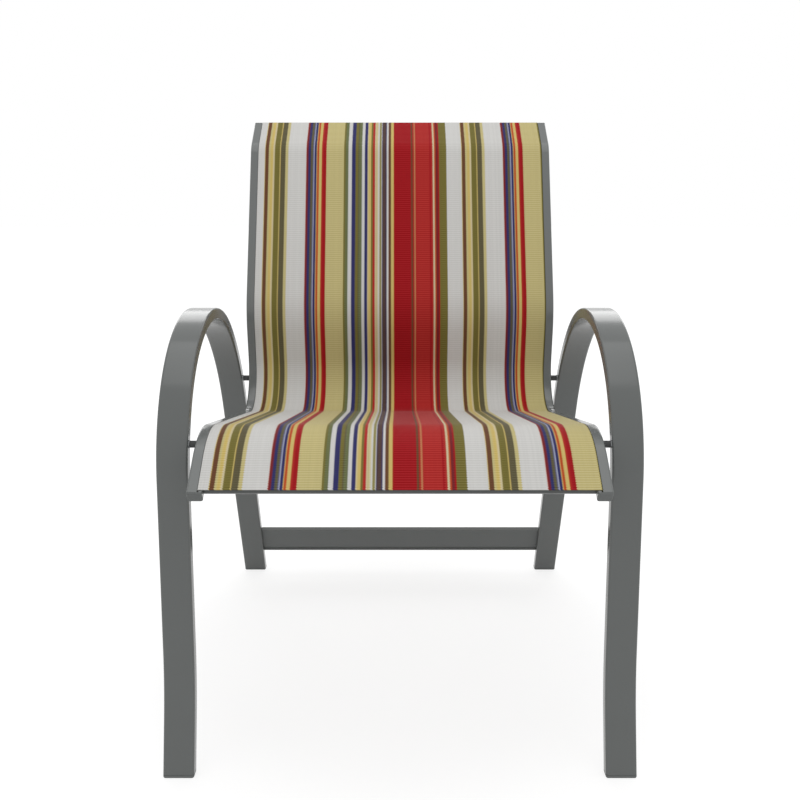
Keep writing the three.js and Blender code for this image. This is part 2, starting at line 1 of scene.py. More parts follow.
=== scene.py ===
"""Sling patio chair.

Two bent side frames carry two S-shaped rails. One striped cloth is stretched between the
rails and is held by a cord in each rail's groove. Sizes are in millimetres and degrees.
Meshes are made in metres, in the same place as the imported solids.
"""

import logging
import math
from dataclasses import dataclass, field
from enum import Enum
from typing import Any, Callable, Iterable, Sequence

import bmesh
import bpy
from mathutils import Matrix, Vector
from mathutils.geometry import tessellate_polygon


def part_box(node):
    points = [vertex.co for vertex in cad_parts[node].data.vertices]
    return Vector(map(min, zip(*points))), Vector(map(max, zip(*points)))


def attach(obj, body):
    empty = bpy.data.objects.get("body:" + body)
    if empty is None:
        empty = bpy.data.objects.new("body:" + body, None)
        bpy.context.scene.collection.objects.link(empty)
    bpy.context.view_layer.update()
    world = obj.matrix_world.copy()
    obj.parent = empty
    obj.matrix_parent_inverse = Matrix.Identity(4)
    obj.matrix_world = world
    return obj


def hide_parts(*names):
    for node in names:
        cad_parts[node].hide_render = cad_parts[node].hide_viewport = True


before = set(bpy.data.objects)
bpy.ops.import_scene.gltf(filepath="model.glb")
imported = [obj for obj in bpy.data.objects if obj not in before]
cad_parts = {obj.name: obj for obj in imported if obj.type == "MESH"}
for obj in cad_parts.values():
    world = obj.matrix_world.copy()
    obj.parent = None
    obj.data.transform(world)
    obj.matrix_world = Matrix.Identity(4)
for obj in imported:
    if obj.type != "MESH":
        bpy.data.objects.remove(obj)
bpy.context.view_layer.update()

LOG = logging.getLogger("sling_chair")
MM = 0.001
SHARP_EDGE = math.radians(32)
NODE_STEP = (220, -260)  # Distance between nodes in the node editor.
NODES_IN_ROW = 12
RAMP_STEPS = 255  # Into how many steps a colour ramp is divided.
OVERREACH = 2.0  # How far a cutter runs past what it cuts, in millimetres.
END_RING = 1.0  # How far from the end of a straight stretch its next ring stands.
WELD_GAP = 0.1  # Between a crossbar's end and the face that it meets.
DOME_CHORDS = 48  # Round the ball that domes a screw's head.
DOME_RINGS = 40
SHANK_CHORDS = 24
CORD_CHORDS = 14
HEXAGON = 6
ROOT_SHARE = 0.3  # How far up a screw's head its shank reaches.

Point2 = tuple[float, float]
Outline = list[Point2]
Ring = list[Vector]
Colour = tuple[float, float, float]
Bend = tuple[float, float]  # A bend's radius and how far it turns.


# Sides and places

class Side(Enum):
    """The chair's two sides, as seen from the front."""

    LEFT = -1
    RIGHT = 1

    @property
    def hand(self) -> str:
        """The side's word in piece names."""
        return self.name.lower()


def centre_of(node: str) -> Vector:
    """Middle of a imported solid's box, in millimetres."""
    low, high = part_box(node)
    return (low + high) / 2 / MM


# Routes of the bent tubes

@dataclass(frozen=True)
class Station:
    """A place on a route in the side view. Heading 0 points up, 90 degrees to the back."""

    y: float
    z: float
    heading: float
    travel: float

    def at_depth(self, depth: float) -> Point2:
        """Y and z beside the route. Positive is the arm's outside and the sling's face."""
        return (self.y - depth * math.cos(self.heading), self.z + depth * math.sin(self.heading))

    def slid(self, height: float, y: float, z: float) -> Point2:
        """Slides a point along the heading to a height."""
        return (y + (height - z) * math.tan(self.heading), height)


@dataclass
class BendRoute:
    """A flat route of straights and bends, with stations close together in the bends."""

    y: float
    z: float
    degrees: float
    step: float = 1.5
    closest: float = 0.2
    stations: list[Station] = field(default_factory=list)

    def __post_init__(self) -> None:
        """Puts the first station at the start."""
        self.stations.append(Station(self.y, self.z, math.radians(self.degrees), 0.0))

    @property
    def end(self) -> Station:
        """The last station."""
        return self.stations[-1]

    @property
    def length(self) -> float:
        """The whole route's length."""
        return self.end.travel

    def straight(self, length: float) -> "BendRoute":
        """Adds a straight stretch.

        Args:
            length: The stretch's length.

        Returns:
            The route itself.
        """
        start = self.end
        sine, cosine = math.sin(start.heading), math.cos(start.heading)
        for part in (END_RING, length - END_RING, length):
            self.stations.append(Station(
                start.y + part * sine, start.z + part * cosine,
                start.heading, start.travel + part,
            ))
        return self

    def bend(self, radius: float, degrees: float) -> "BendRoute":
        """Adds a bend. Positive bends turn to the back.

        Args:
            radius: Radius of the route's own line.
            degrees: How far the heading turns.

        Returns:
            The route itself.
        """
        start = self.end
        steps = max(2, math.ceil(abs(degrees) / self.step))
        swing = math.copysign(radius, degrees)
        for number in range(1, steps + 1):
            heading = start.heading + math.radians(degrees) * number / steps
            self.stations.append(Station(
                start.y + swing * (math.cos(start.heading) - math.cos(heading)),
                start.z + swing * (math.sin(heading) - math.sin(start.heading)),
                heading,
                start.travel + abs(math.radians(degrees)) * radius * number / steps,
            ))
        return self

    def at(self, travel: float) -> Station:
        """Station at a travel.

        Args:
            travel: Distance along the route from its start.

        Returns:
            The station there.
        """
        after = next((i for i, s in enumerate(self.stations) if s.travel >= travel), -1)
        last = self.stations[after]
        first = self.stations[max(after - 1, 0) if after >= 0 else -2]
        span = last.travel - first.travel
        part = (travel - first.travel) / span if span else 0.0

        def mixed(key: str) -> float:
            """One value between the two stations."""
            return getattr(first, key) + part * (getattr(last, key) - getattr(first, key))

        return Station(mixed("y"), mixed("z"), mixed("heading"), travel)

    def between(self, start: float, stop: float) -> list[Station]:
        """Stations from one travel to another, with one at each end."""
        near, far = start + self.closest, stop - self.closest
        return [self.at(start), *(s for s in self.stations if near < s.travel < far), self.at(stop)]


# Flat outlines

def arc(x: float, y: float, radius: float, start: float, stop: float, count: int) -> Outline:
    """Points on an arc about x and y, between two angles in degrees, by a count of chords."""
    angles = (math.radians(start + (stop - start) * i / count) for i in range(count + 1))
    return [(x + radius * math.cos(a), y + radius * math.sin(a)) for a in angles]


def eased_corner(
    x: float, y: float, radius: float, start: float, stop: float, count: int, ease: float = 0.35
) -> Outline:
    """A rounded corner with one more point on the flat at each of its ends.

    Args:
        x: Middle point's x.
        y: Middle point's y.
        radius: The corner's radius.
        start: First angle in degrees.
        stop: Last angle in degrees.
        count: How many chords the corner has.
        ease: How far out on the flats the added points lie.

    Returns:
        The corner's points.
    """
    points = arc(x, y, radius, start, stop, count)
    turn = math.copysign(1.0, stop - start)
    first, last = math.radians(start), math.radians(stop)
    before = (points[0][0] + turn * ease * math.sin(first),
              points[0][1] - turn * ease * math.cos(first))
    after = (points[-1][0] - turn * ease * math.sin(last),
             points[-1][1] + turn * ease * math.cos(last))
    return [before, *points, after]


def rounded_box(
    low: Point2, high: Point2, lower: float, upper: float | None = None, count: int = 5
) -> Outline:
    """A rectangle with rounded corners.

    Args:
        low: Lower left corner.
        high: Upper right corner.
        lower: Radius of the two lower corners.
        upper: Radius of the two upper corners, the same as the lower ones if left out.
        count: Chords in each corner.

    Returns:
        The outline, turning left.
    """
    (x0, y0), (x1, y1), top = low, high, lower if upper is None else upper
    return [
        *eased_corner(x0 + lower, y0 + lower, lower, 180, 270, count),
        *eased_corner(x1 - lower, y0 + lower, lower, 270, 360, count),
        *eased_corner(x1 - top, y1 - top, top, 0, 90, count),
        *eased_corner(x0 + top, y1 - top, top, 90, 180, count),
    ]


def rounded_end(radius: float, flat: float = 0.4, chords: int = 6) -> Outline:
    """Steps that round the end of a piece, from its flat middle out to its full width.

    Args:
        radius: The rounding's radius.
        flat: How far inside the rounding the first step lies, on the flat.
        chords: How many chords the rounding has.

    Returns:
        Each step's inset and height.
    """
    angles = [math.radians(90 * number / chords) for number in range(chords + 1)]
    curve = [(radius * (1 - math.sin(a)), radius * (1 - math.cos(a))) for a in angles]
    return [(radius + flat, 0.0), *curve]


# Meshes

def skin(name: str, outlines: Sequence[Outline], rings: list[Ring]) -> bpy.types.Mesh:
    """Closed mesh over rings of points, with a cap at each end.

    Args:
        name: The mesh's name.
        outlines: The flat outlines, the outer one first and then its hollows.
        rings: Points in millimetres, each ring holding every outline's points in order.

    Returns:
        The mesh, in metres, with its faces pointing out.
    """
    sheet = bmesh.new()
    layers = [[sheet.verts.new(point * MM) for point in ring] for ring in rings]
    starts = [sum(len(o) for o in outlines[:i]) for i in range(len(outlines))]
    for near, far in zip(layers, layers[1:]):
        for start, outline in zip(starts, outlines):
            for k in range(len(outline)):
                a, b = start + k, start + (k + 1) % len(outline)
                sheet.faces.new((near[a], near[b], far[b], far[a]))
    for layer in (layers[0], layers[-1]):
        if len(outlines) == 1:
            sheet.faces.new(layer)
            continue
        flat = [[Vector((x, y, 0.0)) for x, y in outline] for outline in outlines]
        for corners in tessellate_polygon(flat):
            sheet.faces.new([layer[i] for i in corners])
    bmesh.ops.recalc_face_normals(sheet, faces=sheet.faces)
    mesh = bpy.data.meshes.new(name)
    sheet.to_mesh(mesh)
    sheet.free()
    return mesh


def square_ring(station: Station, outlines: Sequence[Outline], side: Side, x_outer: float) -> Ring:
    """Ring square to a route. Outline x runs inwards from x_outer, and outline y is depth."""
    points = [point for outline in outlines for point in outline]
    return [Vector((side.value * (x_outer - x), *station.at_depth(y))) for x, y in points]


def level_ring(
    station: Station, outlines: Sequence[Outline], side: Side, x_outer: float, height: float
) -> Ring:
    """Ring cut level at a height, each point of the square ring slid along the tube."""
    ring = square_ring(station, outlines, side, x_outer)
    return [Vector((p.x, *station.slid(height, p.y, p.z))) for p in ring]


def round_post(
    radius: float, x_from: float, x_to: float, y: float, z: float, chords: int = 40
) -> bpy.types.Mesh:
    """Plain round post along X, used to bore holes.

    Args:
        radius: The post's radius.
        x_from: Where it starts.
        x_to: Where it ends.
        y: Its middle's y.
        z: Its middle's z.
        chords: How many chords its circle has.

    Returns:
        The closed mesh.
    """
    circle = arc(0, 0, radius, 0, 360, chords)[:-1]
    rings = [[Vector((x, y + u, z + v)) for u, v in circle] for x in (x_from, x_to)]
    return skin("post", [circle], rings)


def evaluated_mesh(piece: bpy.types.Object) -> bpy.types.Mesh:
    """A new plain mesh of an object with its modifiers applied."""
    graph = bpy.context.evaluated_depsgraph_get()
    return bpy.data.meshes.new_from_object(piece.evaluated_get(graph), depsgraph=graph)


def linked(name: str, mesh: bpy.types.Mesh) -> bpy.types.Object:
    """Object with a mesh, linked into the scene.

    Args:
        name: The object's name.
        mesh: Its mesh.

    Returns:
        The object, at the origin.
    """
    piece = bpy.data.objects.new(name, mesh)
    bpy.context.scene.collection.objects.link(piece)
    return piece


def combined(
    mesh: bpy.types.Mesh, others: Iterable[bpy.types.Mesh], operation: str = "DIFFERENCE"
) -> bpy.types.Mesh:
    """Bores closed meshes out of another one, or joins them to it.

    Args:
        mesh: The closed mesh.
        others: The closed meshes to take away or to join.
        operation: DIFFERENCE or UNION.

    Returns:
        The combined mesh.
    """
    body = linked("body", mesh)
    tools = [linked("tool", other) for other in others]
    for tool in tools:
        modifier = body.modifiers.new("combine", "BOOLEAN")
        modifier.operation = operation
        modifier.solver = "EXACT"
        modifier.object = tool
    made = evaluated_mesh(body)
    for spare in (body, *tools):
        bpy.data.objects.remove(spare)
    return made


def finished(
    name: str, mesh: bpy.types.Mesh, material: bpy.types.Material, nodes: Sequence[str]
) -> bpy.types.Object:
    """Smooths and dresses a mesh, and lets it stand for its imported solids.

    Args:
        name: The piece's name.
        mesh: The finished mesh.
        material: Its material.
        nodes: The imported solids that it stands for.

    Returns:
        The piece, riding on the chair's one body.
    """
    mesh.materials.clear()
    mesh.materials.append(material)
    mesh.shade_smooth()
    mesh.set_sharp_from_angle(angle=SHARP_EDGE)
    piece = linked(name, mesh)
    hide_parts(*nodes)
    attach(piece, "root")
    LOG.info("%s: %d faces, stands for %s", name, len(mesh.polygons), ", ".join(nodes))
    return piece


# Node trees

@dataclass(frozen=True)
class Pattern:
    """A soft random pattern: its features to a metre, its finer layers and their strength."""

    scale: float
    detail: float = 2.0
    rough: float = 0.5


class NodeGraph:
    """Adds nodes to a shader tree or a geometry tree."""

    def __init__(self, tree: bpy.types.NodeTree) -> None:
        """Keeps the tree that gets the nodes."""
        self.tree = tree
        self.placed = 0

    def node(
        self, kind: str, settings: dict[str, Any] | None = None,
        sockets: dict[Any, Any] | None = None,
    ) -> bpy.types.Node:
        """Adds any node.

        Args:
            kind: The node's type name.
            settings: Its properties, set first. A list under "stops" fills a colour ramp.
            sockets: Values, links or Value objects for its inputs, by name, identifier or number.

        Returns:
            The new node.
        """
        made = self.tree.nodes.new(kind)
        row, column = divmod(self.placed, NODES_IN_ROW)
        made.location = (NODE_STEP[0] * column, NODE_STEP[1] * row)
        self.placed += 1
        for key, value in (settings or {}).items():
            if key == "stops":
                self._fill_ramp(made.color_ramp, value)
            else:
                setattr(made, key, value)
        for key, value in (sockets or {}).items():
            for single in value if isinstance(value, list) else [value]:
                self.plug(self.socket(made.inputs, key), single)
        return made

    @staticmethod
    def socket(sockets: Any, key: Any) -> bpy.types.NodeSocket:
        """Finds a socket.

        Args:
            sockets: A node's inputs or outputs.
            key: The socket's number, identifier or name.

        Returns:
            The socket.
        """
        if isinstance(key, int):
            return sockets[key]
        return next((s for s in sockets if s.identifier == key), None) or sockets[key]

    def plug(self, target: bpy.types.NodeSocket, value: Any) -> None:
        """Links or sets one input socket.

        Args:
            target: The socket.
            value: A Value object or an output to link, or the value to set.
        """
        if isinstance(value, Value):
            value = value.socket
        if isinstance(value, bpy.types.NodeSocket):
            self.tree.links.new(value, target)
        else:
            target.default_value = value

    @staticmethod
    def _fill_ramp(ramp: bpy.types.ColorRamp, stops: list[tuple[float, Any]]) -> None:
        """Puts the stops in a colour ramp.

        Args:
            ramp: The ramp.
            stops: Each stop's position and colour, in order.
        """
        while len(ramp.elements) > 1:
            ramp.elements.remove(ramp.elements[-1])
        for number, (position, colour) in enumerate(stops):
            element = ramp.elements[0] if number == 0 else ramp.elements.new(position)
            element.position = position
            element.color = (*colour, 1.0)

    def output(self, node: bpy.types.Node, key: Any = 0) -> "Value":
        """One output of a node as a value that can be reckoned with."""
        return Value(self, self.socket(node.outputs, key))

    def mixed(self, share: Any, first: Any, second: Any, blend: str = "MIX") -> "Value":
        """Mixes two colours.

        Args:
            share: How much of the second colour, from 0 to 1.
            first: First colour.
            second: Second colour.
            blend: The way of mixing.

        Returns:
            The mixed colour.
        """
        made = self.node("ShaderNodeMix", {"data_type": "RGBA", "blend_type": blend}, {
            "Factor_Float": share, "A_Color": first, "B_Color": second,
        })
        return self.output(made, "Result_Color")

    def lit(self, colour: Any, light: "Value") -> "Value":
        """Multiplies a colour by a number."""
        grey = self.node("ShaderNodeCombineColor", None, {0: light, 1: light, 2: light})
        return self.mixed(1.0, colour, self.output(grey), "MULTIPLY")

    def vectors(self, operation: str, *parts: Any, **sockets: Any) -> "Value":
        """Vector maths on colours or places, with other sockets by name."""
        keys = {**dict(enumerate(parts)), **sockets}
        return self.output(self.node("ShaderNodeVectorMath", {"operation": operation}, keys))

    def noise(self, where: Any, pattern: Pattern) -> "Value":
        """A soft random pattern about 0.5."""
        return self.output(self.node("ShaderNodeTexNoise", None, {
            "Vector": where, "Scale": pattern.scale, "Detail": pattern.detail,
            "Roughness": pattern.rough,
        }))


def maths(operation: str, swapped: bool = False) -> Callable[["Value", Any], "Value"]:
    """Makes an operator of values that adds one Math node.

    Args:
        operation: The node's operation.
        swapped: Whether the value itself comes second, as in 1 - value.

    Returns:
        The operator.
    """
    def operator(self: "Value", other: Any) -> "Value":
        """The node's result."""
        return self.reckoned(operation, *((other, self) if swapped else (self, other)))

    return operator


class Value:
    """A number that nodes work out, written as plain sums."""

    def __init__(self, graph: NodeGraph, socket: bpy.types.NodeSocket) -> None:
        """Keeps the graph that gets new nodes, and the output that carries the number."""
        self.graph = graph
        self.socket = socket

    def reckoned(self, operation: str, *parts: Any) -> "Value":
        """Adds one Math node."""
        node = self.graph.node("ShaderNodeMath", {"operation": operation}, dict(enumerate(parts)))
        return self.graph.output(node)

    __add__, __radd__ = maths("ADD"), maths("ADD", swapped=True)
    __sub__, __rsub__ = maths("SUBTRACT"), maths("SUBTRACT", swapped=True)
    __mul__, __rmul__ = maths("MULTIPLY"), maths("MULTIPLY", swapped=True)
    __truediv__, __rtruediv__ = maths("DIVIDE"), maths("DIVIDE", swapped=True)
    __pow__, __rpow__ = maths("POWER"), maths("POWER", swapped=True)
    __gt__, __lt__ = maths("GREATER_THAN"), maths("LESS_THAN")

    def whole(self) -> "Value":
        """The whole number at or below it."""
        return self.reckoned("FLOOR", self)

    def rest(self) -> "Value":
        """What is left above the whole number."""
        return self.reckoned("FRACT", self)

    def size(self) -> "Value":
        """The number without its sign."""
        return self.reckoned("ABSOLUTE", self)

    def sign(self) -> "Value":
        """1 for a positive number and -1 for a negative one."""
        return self.reckoned("SIGN", self)

    def wave(self) -> "Value":
        """A wave from 0 to 1 over a number in radians, highest at 0."""
        return self.reckoned("COSINE", self) * 0.5 + 0.5

    def swing(self, width: float) -> "Value":
        """A pattern from 0 to 1 as a swing of a width about 0."""
        return (self - 0.5) * width


def linear(red: int, green: int, blue: int) -> Colour:
    """Display colour as the shader's linear colour.

    Args:
        red: Red from 0 to 255.
        green: Green from 0 to 255.
        blue: Blue from 0 to 255.

    Returns:
        The linear colour.
    """
    def channel(value: int) -> float:
        """One channel."""
        share = value / 255
        return share / 12.92 if share <= 0.04045 else ((share + 0.055) / 1.055) ** 2.4

    return (channel(red), channel(green), channel(blue))


def shaded(colour: Colour, factor: float) -> tuple[float, float, float, float]:
    """A colour made lighter or darker by a factor, with full opacity."""
    return (colour[0] * factor, colour[1] * factor, colour[2] * factor, 1.0)


# Finishes

class Surface:
    """A new material with its graph, its shader and its coordinates."""

    def __init__(self, name: str, coordinates: str = "Object") -> None:
        """Makes the material.

        Args:
            name: The material's name.
            coordinates: The output of Texture Coordinate that the patterns read.
        """
        self.material = bpy.data.materials.new(name)
        self.material.use_nodes = True
        self.material.node_tree.nodes.clear()
        self.graph = NodeGraph(self.material.node_tree)
        self.where = self.graph.output(self.graph.node("ShaderNodeTexCoord"), coordinates)
        self.shader = self.graph.node("ShaderNodeBsdfPrincipled")
        self.graph.node(
            "ShaderNodeOutputMaterial", sockets={"Surface": self.shader.outputs["BSDF"]}
        )

    def dress(self, **sockets: Any) -> None:
        """Sets or links the shader's sockets, with an underscore for each space in a name."""
        for key, value in sockets.items():
            self.graph.plug(self.shader.inputs[key.replace("_", " ")], value)

    def bump(self, height: Value, distance: float, strength: float) -> None:
        """Raises the surface in the shader, where a height of 1 stands for the distance."""
        made = self.graph.node("ShaderNodeBump", None, {
            "Strength": strength, "Distance": distance, "Height": height,
        })
        self.dress(Normal=made.outputs["Normal"])


@dataclass(frozen=True)
class PowderCoat:
    """Satin powder coat on aluminium, with a fine orange peel and slight cloudiness."""

    name: str
    colour: Colour
    roughness: float = 0.17
    clouds: Pattern = Pattern(14, 3)
    grains: Pattern = Pattern(2600, 1)
    waves: Pattern = Pattern(620, 2)
    cloud_tint: float = 0.035
    grain_tint: float = 0.05
    cloud_gloss: float = 0.08
    grain_gloss: float = 0.06
    wave_share: float = 0.75
    peel: float = 0.00004
    peel_strength: float = 0.4

    def material(self) -> bpy.types.Material:
        """Makes the coat's material.

        Returns:
            The material.
        """
        surface = Surface(self.name)
        graph, where = surface.graph, surface.where
        clouds, grains = graph.noise(where, self.clouds), graph.noise(where, self.grains)
        dark, pale = 1 - self.cloud_tint, 1 + self.cloud_tint
        tone = graph.mixed(clouds, shaded(self.colour, dark), shaded(self.colour, pale))
        surface.dress(
            Base_Color=graph.lit(tone, 1 - self.grain_tint / 2 + grains * self.grain_tint),
            Roughness=self.roughness + clouds.swing(self.cloud_gloss)
            + grains.swing(self.grain_gloss),
        )
        waves = graph.noise(where, self.waves) * self.wave_share
        surface.bump(waves + grains * (1 - self.wave_share), self.peel, self.peel_strength)
        return surface.material


@dataclass(frozen=True)
class MouldedPlastic:
    """Matt moulded plastic with a fine spark-eroded grain."""

    name: str
    colour: Colour
    roughness: float = 0.55
    clouds: Pattern = Pattern(30, 2)
    grains: Pattern = Pattern(1500, 3, 0.6)
    cloud_share: float = 0.6
    tint: float = 0.08
    grain_gloss: float = 0.2
    grain_depth: float = 0.00006
    grain_strength: float = 0.7

    def material(self) -> bpy.types.Material:
        """Makes the plastic's material.

        Returns:
            The material.
        """
        surface = Surface(self.name)
        graph, where = surface.graph, surface.where
        clouds, grains = graph.noise(where, self.clouds), graph.noise(where, self.grains)
        tone = clouds * self.cloud_share + grains * (1 - self.cloud_share)
        dark, pale = shaded(self.colour, 1 - self.tint), shaded(self.colour, 1 + self.tint)
        surface.dress(
            Base_Color=graph.mixed(tone, dark, pale),
            Roughness=self.roughness + grains.swing(self.grain_gloss),
        )
        surface.bump(grains, self.grain_depth, self.grain_strength)
        return surface.material


@dataclass(frozen=True)
class PlatedSteel:
    """Zinc-plated steel, brushed by its tumbling and slightly dull."""

    name: str
    colour: Colour
    roughness: float = 0.34
    dull: Pattern = Pattern(160, 4, 0.6)
    scuffs: Pattern = Pattern(1900, 2)
    darkest: float = 0.85
    palest: float = 1.1
    dull_gloss: float = 0.3
    scuff_depth: float = 0.00003
    scuff_strength: float = 0.5

    def material(self) -> bpy.types.Material:
        """Makes the plating's material.

        Returns:
            The material.
        """
        surface = Surface(self.name)
        graph, where = surface.graph, surface.where
        dull = graph.noise(where, self.dull)
        dark, pale = shaded(self.colour, self.darkest), shaded(self.colour, self.palest)
        surface.dress(
            Base_Color=graph.mixed(dull, dark, pale),
            Metallic=1.0,
            Roughness=self.roughness + dull.swing(self.dull_gloss),
        )
        surface.bump(graph.noise(where, self.scuffs), self.scuff_depth, self.scuff_strength)
        return surface.material


@dataclass(frozen=True)
class DrawnCord:
    """Smooth extruded plastic cord with faint draw lines along it."""

    name: str
    colour: Colour
    roughness: float = 0.5
    lines: Pattern = Pattern(900, 2)
    darkest: float = 0.93
    palest: float = 1.05
    line_gloss: float = 0.15
    line_depth: float = 0.00004
    line_strength: float = 0.5

    def material(self) -> bpy.types.Material:
        """Makes the cord's material.

        Returns:
            The material.
        """
        surface = Surface(self.name)
        lines = surface.graph.noise(surface.where, self.lines)
        dark, pale = shaded(self.colour, self.darkest), shaded(self.colour, self.palest)
        surface.dress(
            Base_Color=surface.graph.mixed(lines, dark, pale),
            Roughness=self.roughness + lines.swing(self.line_gloss),
        )
        surface.bump(lines, self.line_depth, self.line_strength)
        return surface.material


class Yarn(Enum):
    """The coated yarns of the cloth, by colour."""

    WHITE = linear(203, 202, 199)
    CREAM = linear(200, 187, 150)
    STRAW = linear(190, 178, 125)
    GOLD = linear(199, 177, 106)
    TAN = linear(182, 118, 80)
    RUST = linear(180, 74, 38)
    SCARLET = linear(168, 42, 36)
    BRICK = linear(170, 44, 41)
    CRIMSON = linear(154, 23, 29)
    MAROON = linear(115, 38, 42)
    BROWN = linear(102, 67, 46)
    PLUM = linear(83, 64, 60)
    BRONZE = linear(93, 87, 64)
    OLIVE = linear(113, 105, 53)
    KHAKI = linear(138, 131, 76)
    MOSS = linear(103, 109, 73)
    NAVY = linear(50, 50, 97)
    STEEL = linear(96, 100, 132)
    SKY = linear(176, 178, 196)


@dataclass(frozen=True)
class Stripe:
    """One stripe of the cloth: its yarn and its width in millimetres."""

    yarn: Yarn
    width: float


def stripe_bands() -> list[list[Stripe]]:
    """One repeat of the cloth's stripes, from left to right.

    Returns:
        The four bands of the repeat, 333 mm wide together.
    """
    y = Yarn
    edge_band = [
        (y.BROWN, 5.8), (y.STRAW, 3.0), (y.GOLD, 4.2), (y.CREAM, 2.9), (y.OLIVE, 8.8),
        (y.GOLD, 1.3), (y.BRONZE, 8.1), (y.STRAW, 4.8), (y.WHITE, 30.6), (y.RUST, 0.5),
    ]
    blue_red_band = [
        (y.MAROON, 3.2), (y.NAVY, 4.0), (y.BRONZE, 3.6), (y.STEEL, 1.7), (y.SKY, 0.9),
        (y.NAVY, 3.7), (y.GOLD, 0.9), (y.RUST, 3.4), (y.GOLD, 4.4), (y.SCARLET, 2.6),
        (y.CRIMSON, 5.3), (y.STRAW, 29.7),
    ]
    navy_band = [
        (y.OLIVE, 3.0), (y.MOSS, 4.5), (y.WHITE, 6.1), (y.NAVY, 6.1), (y.OLIVE, 4.6),
        (y.BRONZE, 1.7), (y.MOSS, 4.7), (y.WHITE, 4.6), (y.NAVY, 4.9), (y.CREAM, 1.7),
        (y.GOLD, 4.1), (y.OLIVE, 3.2), (y.BRICK, 3.6), (y.CREAM, 1.6), (y.STRAW, 1.6),
        (y.CREAM, 2.1), (y.WHITE, 2.0), (y.KHAKI, 3.4), (y.WHITE, 0.9), (y.NAVY, 1.2),
        (y.PLUM, 5.5), (y.NAVY, 1.3), (y.WHITE, 3.0), (y.BROWN, 4.4), (y.GOLD, 4.5),
    ]
    red_band = [
        (y.CRIMSON, 29.2), (y.BROWN, 2.9), (y.SCARLET, 2.1), (y.TAN, 2.4), (y.BRICK, 23.8),
        (y.CRIMSON, 2.3), (y.BRICK, 3.2), (y.CREAM, 2.6), (y.RUST, 2.4), (y.MAROON, 3.4),
        (y.CRIMSON, 2.2), (y.OLIVE, 12.7), (y.WHITE, 25.5), (y.GOLD, 0.8),
    ]
    bands = (edge_band, blue_red_band, navy_band, red_band)
    return [[Stripe(yarn, width) for yarn, width in band] for band in bands]


def width_of(band: Sequence[Stripe]) -> float:
    """How wide a band of stripes is, in millimetres."""
    return sum(stripe.width for stripe in band)


